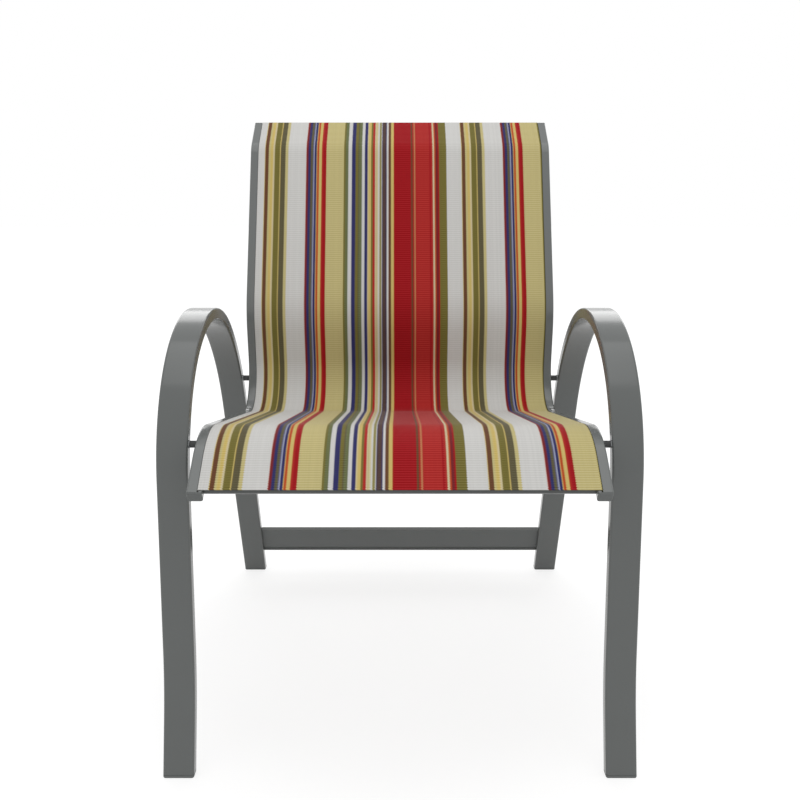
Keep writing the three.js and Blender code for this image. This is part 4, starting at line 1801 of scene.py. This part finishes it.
@dataclass
class FrameBolts:
    """The four bolts that hang the rails on the side frames, with spacers and inserts."""

    layout: Layout
    steel: bpy.types.Material
    plastic: bpy.types.Material
    head: float = 10
    head_height: float = 3.3
    dome: float = 2.4
    socket: float = 4
    socket_depth: float = 1.8
    shank: float = 6
    play: float = 0.4
    beyond_wall: float = 11
    spacer: float = 9
    spacer_foot: float = 0.2
    spacer_step: float = 0.8
    insert: float = 9.2
    insert_flange: float = 10.4
    insert_flange_height: float = 0.5
    insert_length: float = 10.8

    def build_kind(
        self, kind: str, material: bpy.types.Material, tree: PartTree,
        distance: float, sizes: dict[str, float],
    ) -> bpy.types.Object:
        """Makes the four parts of one kind as one piece.

        Args:
            kind: bolt, spacer or insert.
            material: Their material.
            tree: The tree that makes them.
            distance: How far from the chair's middle they start.
            sizes: Values of the tree's inputs, in millimetres.

        Returns:
            The dressed piece.
        """
        nodes = [f"frame_{kind}_{where}_{side.hand}"
                 for side in Side for where in ("front", "rear")]
        middles = [centre_of(node) for node in nodes]
        places = points_mesh(Vector((math.copysign(distance, p.x), *p.yz)) for p in middles)
        mesh = tree.made(places, sizes, material)
        return finished(f"frame_{kind}s", mesh, material, nodes)

    def build(self) -> None:
        """Makes the bolts, spacers and inserts."""
        part, collars, flange = self.layout, collar_tree(), self.insert_flange_height
        bore = self.shank + self.play
        shank = part.rail_width + part.rail_gap + part.gap + self.beyond_wall
        self.build_kind(
            "bolt", self.steel, fastener_tree(-1), part.rail_inner - part.gap,
            {
                "Head diameter": self.head, "Head height": self.head_height,
                "Dome height": self.dome, "Socket width": self.socket,
                "Socket depth": self.socket_depth, "Shank diameter": self.shank,
                "Shank length": shank,
            },
        )
        # A spacer has no flange that shows: its foot is no wider than its tube.
        self.build_kind(
            "spacer", self.plastic, collars, part.rail_outer + part.gap,
            {
                "Outer diameter": self.spacer, "Flange diameter": self.spacer - self.spacer_step,
                "Flange height": self.spacer_foot, "Bore": bore,
                "Length": part.rail_gap - flange - 3 * part.gap,
            },
        )
        self.build_kind(
            "insert", self.steel, collars, part.frame_inner - part.gap - flange,
            {
                "Outer diameter": self.insert, "Flange diameter": self.insert_flange,
                "Flange height": flange, "Bore": bore, "Length": self.insert_length,
            },
        )


@dataclass
class Sling:
    """The striped cloth, looped round a cord in each rail's groove."""

    layout: Layout
    cloth: bpy.types.Material
    cord_plastic: bpy.types.Material
    front_inset: float = 5.7
    top_inset: float = 0.5
    cord_inset: float = 7
    edge_rounding: float = 0.5
    edge_chords: int = 4
    columns: int = 16
    free_end: float = -220
    loop_chords: int = 18
    face_inset: float = 3

    def half_section(self) -> tuple[list[tuple[float, float, float]], float]:
        """One edge of the cloth's section.

        Returns:
            Points as x past the groove's middle, y and distance along the cloth past the
            groove's middle, from the face round the loop to the underside, and the last
            distance.
        """
        part, half, chords = self.layout, self.layout.cloth / 2, self.loop_chords
        mid = (part.loop_inner + part.loop_outer) / 2
        outer = math.degrees(math.acos(half / part.loop_outer))
        inner = math.degrees(math.acos(-half / part.loop_inner))
        drop = part.groove_depth - part.loop_outer * math.sin(math.radians(outer))

        def travelled(angle: float) -> float:
            """Distance along the cloth at an angle of the loop."""
            return max(drop, drop + math.radians(outer - angle) * mid)

        def leaf(radius: float, start: float, stop: float) -> list[tuple[float, float, float]]:
            """Points on one side of the looped cloth, between two angles."""
            points = arc(0, -part.groove_depth, radius, start, stop, chords)
            return [(x, y, travelled(start + (stop - start) * i / chords))
                    for i, (x, y) in enumerate(points)]

        rounding = self.edge_rounding
        edge = arc(half - rounding, -rounding, rounding, 90, 0, self.edge_chords)
        points = [
            *((x, y, max(0.0, -y)) for x, y in edge),
            *leaf(part.loop_outer, outer, self.free_end),
            *leaf(part.loop_inner, self.free_end, inner),
            (-half, -part.cloth, 0.0),
        ]
        return points, travelled(self.free_end)

    def section(self) -> list[tuple[float, float, float]]:
        """The cloth's whole section.

        Returns:
            Points as x from the chair's middle, depth, and distance across the flat cloth.
        """
        centre, (edge, _) = self.layout.groove_x, self.half_section()
        right = [(centre + x, y, centre + along) for x, y, along in edge]
        left = [(-x, y, -along) for x, y, along in reversed(right)]
        inner_half = centre - self.face_inset
        steps = [inner_half * (2 * i / self.columns - 1) for i in range(self.columns + 1)]
        face = [(x, 0.0, x) for x in steps]
        under = [(x, -self.layout.cloth, x) for x in reversed(steps)]
        return [*right, *under, *left, *face]

    def build_cloth(self) -> bpy.types.Object:
        """Makes the cloth with its map in millimetres across and along.

        Returns:
            The dressed piece.
        """
        route, section = self.layout.rail_route(), self.section()
        stations = route.between(self.front_inset, route.length - self.top_inset)
        sheet = bmesh.new()
        layer = sheet.loops.layers.uv.new("weave")
        rings = []
        for station in stations:
            rings.append([
                sheet.verts.new(Vector((x, *station.at_depth(depth))) * MM)
                for x, depth, _ in section
            ])
        count = len(section)
        for number, (near, far) in enumerate(zip(rings, rings[1:])):
            start, stop = stations[number].travel, stations[number + 1].travel
            for k in range(count):
                after = (k + 1) % count
                face = sheet.faces.new((near[k], near[after], far[after], far[k]))
                places = zip(face.loops, (k, after, after, k), (start, start, stop, stop))
                for loop, at, travel in places:
                    loop[layer].uv = (section[at][2], travel)
        for ring, station in ((rings[0], stations[0]), (rings[-1], stations[-1])):
            flat = [[Vector((x, depth, 0.0)) for x, depth, _ in section]]
            for corners in tessellate_polygon(flat):
                face = sheet.faces.new([ring[i] for i in corners])
                for loop, at in zip(face.loops, corners):
                    loop[layer].uv = (section[at][2], station.travel)
        bmesh.ops.recalc_face_normals(sheet, faces=sheet.faces)
        mesh = bpy.data.meshes.new("sling")
        sheet.to_mesh(mesh)
        sheet.free()
        piece = finished("sling_cloth", mesh, self.cloth, ["sling"])
        half_width = self.layout.groove_x + self.half_section()[1]
        return piece

    def build_cord(self, side: Side) -> bpy.types.Object:
        """Makes the cord inside one edge of the cloth.

        Args:
            side: The chair's side.

        Returns:
            The dressed piece.
        """
        part, route = self.layout, self.layout.rail_route()
        x = side.value * part.groove_x
        stations = route.between(self.cord_inset, route.length - self.cord_inset)
        path = [Vector((x, *station.at_depth(-part.groove_depth))) for station in stations]
        mesh = cord_tree().made(
            points_mesh(path, joined=True), {"Diameter": part.cord}, self.cord_plastic
        )
        name = f"groove_cord_{side.hand}"
        return finished(f"{name}_spline", mesh, self.cord_plastic, [name])

    def build(self) -> None:
        """Makes the cloth and its two cords."""
        self.build_cloth()
        for side in Side:
            self.build_cord(side)


# Studio

@dataclass(frozen=True)
class SoftLamp:
    """A soft rectangular lamp that faces the chair's middle."""

    name: str
    place: tuple[float, float, float]
    size: tuple[float, float]
    power: float
    aim: tuple[float, float, float] = (0, 0, 0.5)

    def hang(self) -> None:
        """Makes the lamp and links it into the scene."""
        data = bpy.data.lights.new(self.name, "AREA")
        data.shape = "RECTANGLE"
        data.size, data.size_y = self.size
        data.energy = self.power
        lamp = bpy.data.objects.new(self.name, data)
        lamp.location = self.place
        ray = Vector(self.aim) - Vector(self.place)
        lamp.rotation_euler = ray.to_track_quat("-Z", "Y").to_euler()
        lamp.visible_camera = False
        bpy.context.scene.collection.objects.link(lamp)


@dataclass
class Studio:
    """White floor and surroundings, soft light, and the camera."""

    camera_y: float = -1.44364
    camera_z: float = 0.7525
    pitch: float = 12.922
    focal_pixels: float = 965.7
    image_width: int = 800
    sensor: float = 36.0
    sky: float = 0.87
    soft_lamps: tuple[SoftLamp, ...] = (
        SoftLamp("overhead", (0, -0.15, 2.6), (1.8, 1.8), 10.0),
        SoftLamp("behind", (0, 2.8, 2.05), (4.0, 1.4), 34.0),
    )
    floor_grey: float = 0.25
    # Near the chair the floor glows less than far away: painted shade under the chair that lets its
    # real shadow show, while the far glow keeps the floor white.
    floor_glow: float = 0.745
    far_glow: float = 0.85
    near_reach: float = 0.28
    far_reach: float = 0.6
    floor_half: float = 14.0
    bounce_grey: float = 0.8

    def camera(self) -> None:
        """Puts the camera at the photograph's viewing angle."""
        data = bpy.data.cameras.new("camera")
        data.sensor_width = self.sensor
        data.lens = self.focal_pixels / self.image_width * self.sensor
        camera = bpy.data.objects.new("camera", data)
        camera.location = (0, self.camera_y, self.camera_z)
        camera.rotation_euler = (math.radians(90 - self.pitch), 0, 0)
        bpy.context.scene.collection.objects.link(camera)
        bpy.context.scene.camera = camera

    @staticmethod
    def seen_rays(graph: NodeGraph) -> Value:
        """Tells rays that see the surroundings from rays that light by them.

        Args:
            graph: Where the nodes go.

        Returns:
            1 for rays that see, and 0 for rays that light.
        """
        rays = graph.node("ShaderNodeLightPath")
        found = [graph.output(rays, key) for key in
                 ("Is Camera Ray", "Is Glossy Ray", "Is Transmission Ray")]
        return found[0] + found[1] + found[2] > 0.5

    def world(self) -> None:
        """Makes the surroundings: white where seen, and a little less as light."""
        world = bpy.data.worlds.new("surroundings")
        world.use_nodes = True
        world.node_tree.nodes.clear()
        graph = NodeGraph(world.node_tree)
        strength = self.sky + self.seen_rays(graph) * (1 - self.sky)
        white = graph.node(
            "ShaderNodeBackground", None, {"Color": (1, 1, 1, 1), "Strength": strength}
        )
        graph.node("ShaderNodeOutputWorld", None, {"Surface": white.outputs[0]})
        bpy.context.scene.world = world

    def floor(self) -> None:
        """Makes the floor, which shows white with the chair's faint shadow and a dimmer glow near
        the chair, painted shade under it.
        """
        size = self.floor_half
        mesh = bpy.data.meshes.new("floor")
        corners = [(-size, -size, 0), (size, -size, 0), (size, size, 0), (-size, size, 0)]
        mesh.from_pydata(corners, [], [(0, 1, 2, 3)])
        material = bpy.data.materials.new("floor_sheet")
        material.use_nodes = True
        material.node_tree.nodes.clear()
        graph = NodeGraph(material.node_tree)

        def diffuse(grey: float) -> bpy.types.NodeSocket:
            """Plain diffuse shader of one grey."""
            made = graph.node("ShaderNodeBsdfDiffuse", None, {"Color": (grey, grey, grey, 1)})
            return made.outputs[0]

        place = graph.output(graph.node("ShaderNodeTexCoord"), "Object")
        distance = graph.node("ShaderNodeVectorMath", {"operation": "LENGTH"}, {0: place})
        # The glow grows from the dimmer value near the chair's middle to the far one: painted shade
        # under the chair.
        reach = graph.node("ShaderNodeMapRange", {"interpolation_type": "SMOOTHSTEP"}, {
            "Value": graph.output(distance, "Value"),
            "From Min": self.near_reach, "From Max": self.far_reach,
            "To Min": self.floor_glow, "To Max": self.far_glow,
        })
        glow = graph.node("ShaderNodeEmission", None, {
            "Color": (1, 1, 1, 1), "Strength": reach.outputs[0],
        })
        shown = graph.node("ShaderNodeAddShader", None, {
            0: diffuse(self.floor_grey), 1: glow.outputs[0],
        })
        mixed = graph.node("ShaderNodeMixShader", None, {
            0: self.seen_rays(graph), 1: diffuse(self.bounce_grey), 2: shown.outputs[0],
        })
        graph.node("ShaderNodeOutputMaterial", None, {"Surface": mixed.outputs[0]})
        mesh.materials.append(material)
        linked("floor", mesh)

    def lamps(self) -> None:
        """Hangs every soft lamp."""
        for lamp in self.soft_lamps:
            lamp.hang()

    def build(self) -> None:
        """Makes the whole studio."""
        bpy.context.scene.view_settings.view_transform = "Standard"
        self.camera()
        self.world()
        self.floor()
        self.lamps()


def main() -> None:
    """Builds the studio and the chair."""
    logging.basicConfig(level=logging.INFO, format="%(message)s")
    Studio().build()
    layout = Layout()
    steel = PlatedSteel("zinc_plated_steel", linear(168, 170, 172)).material()
    cap = MouldedPlastic("grey_cap_plastic", linear(95, 98, 97)).material()
    spacer = MouldedPlastic("dark_spacer_plastic", linear(56, 58, 58)).material()
    frame_coat = PowderCoat("frame_powder_coat", linear(92, 95, 94)).material()
    rail_coat = PowderCoat("rail_powder_coat", linear(102, 105, 104)).material()
    # The spreader bars get a darker copy of the frame and rail coat: painted shade for bars under
    # and behind the cloth.
    spreader_shaded_paint = PowderCoat("spreader_powder_coat", linear(70, 73, 72)).material()
    cloth = WovenSling("striped_sling_cloth").material()
    cord = DrawnCord("white_cord_plastic", linear(214, 212, 206)).material()
    for assembly in (
        SideFrames(layout, frame_coat, cap),
        SlingRails(layout, rail_coat, cap),
        Spreaders(layout, spreader_shaded_paint, steel),
        FrameBolts(layout, steel, spacer),
        Sling(layout, cloth, cord),
    ):
        assembly.build()


if __name__ == "__main__":
    main()
